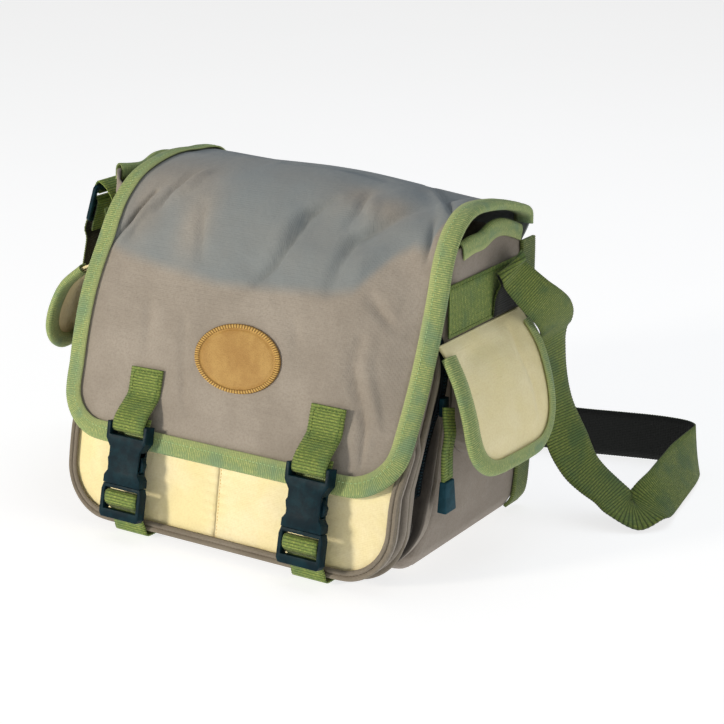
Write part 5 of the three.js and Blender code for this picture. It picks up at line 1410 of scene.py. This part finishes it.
def moulded_piece(node, material, edge=EDGE_ROUND):
    shape = merged(node)
    bmesh.ops.dissolve_limit(
        shape, angle_limit=math.radians(4), verts=shape.verts[:], edges=shape.edges[:])
    sharp = [e for e in shape.edges if len(e.link_faces) == 2 and e.calc_face_angle(0) > math.radians(25)]
    bmesh.ops.bevel(
        shape, geom=sharp, offset=edge, offset_type="OFFSET", segments=2, profile=0.5,
        affect="EDGES", clamp_overlap=True, material=-1)
    bmesh.ops.triangulate(shape, faces=[f for f in shape.faces if len(f.verts) > 4])
    return keep(shape, node + "_moulded", material, [node])


for side in ("left", "right"):
    for half in ("female", "male"):
        made = moulded_piece("buckle_" + half + "_" + side, plastic)
moulded_piece("zip_slider", plastic, 0.4 * MM)
moulded_piece("strap_slider", plastic)
tip = moulded_piece("zip_pull_tip", rubber, 0.8 * MM)
tip_low, tip_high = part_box("zip_pull_tip")
tip_middle = (tip_low + tip_high) / 2
for vert in tip.data.vertices:
    share = (vert.co.z - tip_low.z) / (tip_high.z - tip_low.z)
    for axis in (0, 1):
        vert.co[axis] = tip_middle[axis] + (vert.co[axis] - tip_middle[axis]) * (1.12 - 0.34 * share)
print("a buckle half has", len(made.data.polygons), "faces")

# %% [markdown]
# ## Floor, light and surroundings
# The bag was photographed in low warm sunlight under a bright sky, and then cut out on white.
# A warm key from the front left, a cool fill from above and white surroundings give the same
# modelling: a warm lower front, a bluish upper flap and dark folds on the right side. A painted
# sky shade on the flap and painted shade in the folds add to it. The floor glows a little, so that
# it comes out as white as the paper the bag was cut out on.

# %% Floor
FLOOR_SIZE = 14.0
FLOOR_GLOW = 0.76

ground = bmesh.new()
bmesh.ops.create_grid(ground, x_segments=8, y_segments=8, size=FLOOR_SIZE / 2)
floor_mesh = bpy.data.meshes.new("floor")
ground.to_mesh(floor_mesh)
ground.free()
floor_finish, floor_shader = new_finish("white_paper", roughness=0.9, specular=0.1)
floor_at = add_node(floor_finish, "ShaderNodeTexCoord").outputs["Object"]
paper = noise(floor_finish, floor_at, 0.4)
floor_shade = blend_colours(floor_finish, paper, colour("#A8A8A7"), colour("#AEAEAE"))
link(floor_finish, floor_shade, floor_shader.inputs["Base Color"])
floor_shader.inputs["Emission Color"].default_value = colour("#FFFFFF")
floor_shader.inputs["Emission Strength"].default_value = FLOOR_GLOW
floor_mesh.materials.append(floor_finish)
floor = bpy.data.objects.new("floor", floor_mesh)
bpy.context.scene.collection.objects.link(floor)
print("floor", FLOOR_SIZE, "m square")


# %% Lights
SURROUNDINGS = 0.2


def area_light(name, direction, distance, size, power, tone):
    """A square light that faces the bag. direction points from the bag to the light."""
    lamp = bpy.data.lights.new(name, "AREA")
    lamp.size = size
    lamp.energy = power
    lamp.color = colour(tone)[:3]
    light = bpy.data.objects.new(name, lamp)
    way = Vector(direction).normalized()
    light.matrix_world = Matrix.Translation(
        Vector((0, 0, 0.1)) + way * distance) @ way.to_track_quat("Z", "Y").to_matrix().to_4x4()
    bpy.context.scene.collection.objects.link(light)
    return light


# Name, direction, distance and size in metres, power in watts, and tone.
LIGHTS = [
    ("low_sun", (-0.6, -1.0, 0.3), 2.4, 0.35, 36, "#FFF5E6"),
    ("sky_fill", (0.1, 0.3, 1.0), 2.2, 1.8, 17, "#E2ECFA"),
    ("side_fill", (1.0, -0.25, 0.35), 2.2, 1.2, 6, "#F4F4F0"),
]
for light_row in LIGHTS:
    area_light(*light_row)
world = bpy.data.worlds.new("white_surroundings")
world.use_nodes = True
world.node_tree.nodes["Background"].inputs["Color"].default_value = colour("#FFFFFF")
world.node_tree.nodes["Background"].inputs["Strength"].default_value = SURROUNDINGS
bpy.context.scene.world = world
bpy.context.scene.view_settings.view_transform = "Standard"
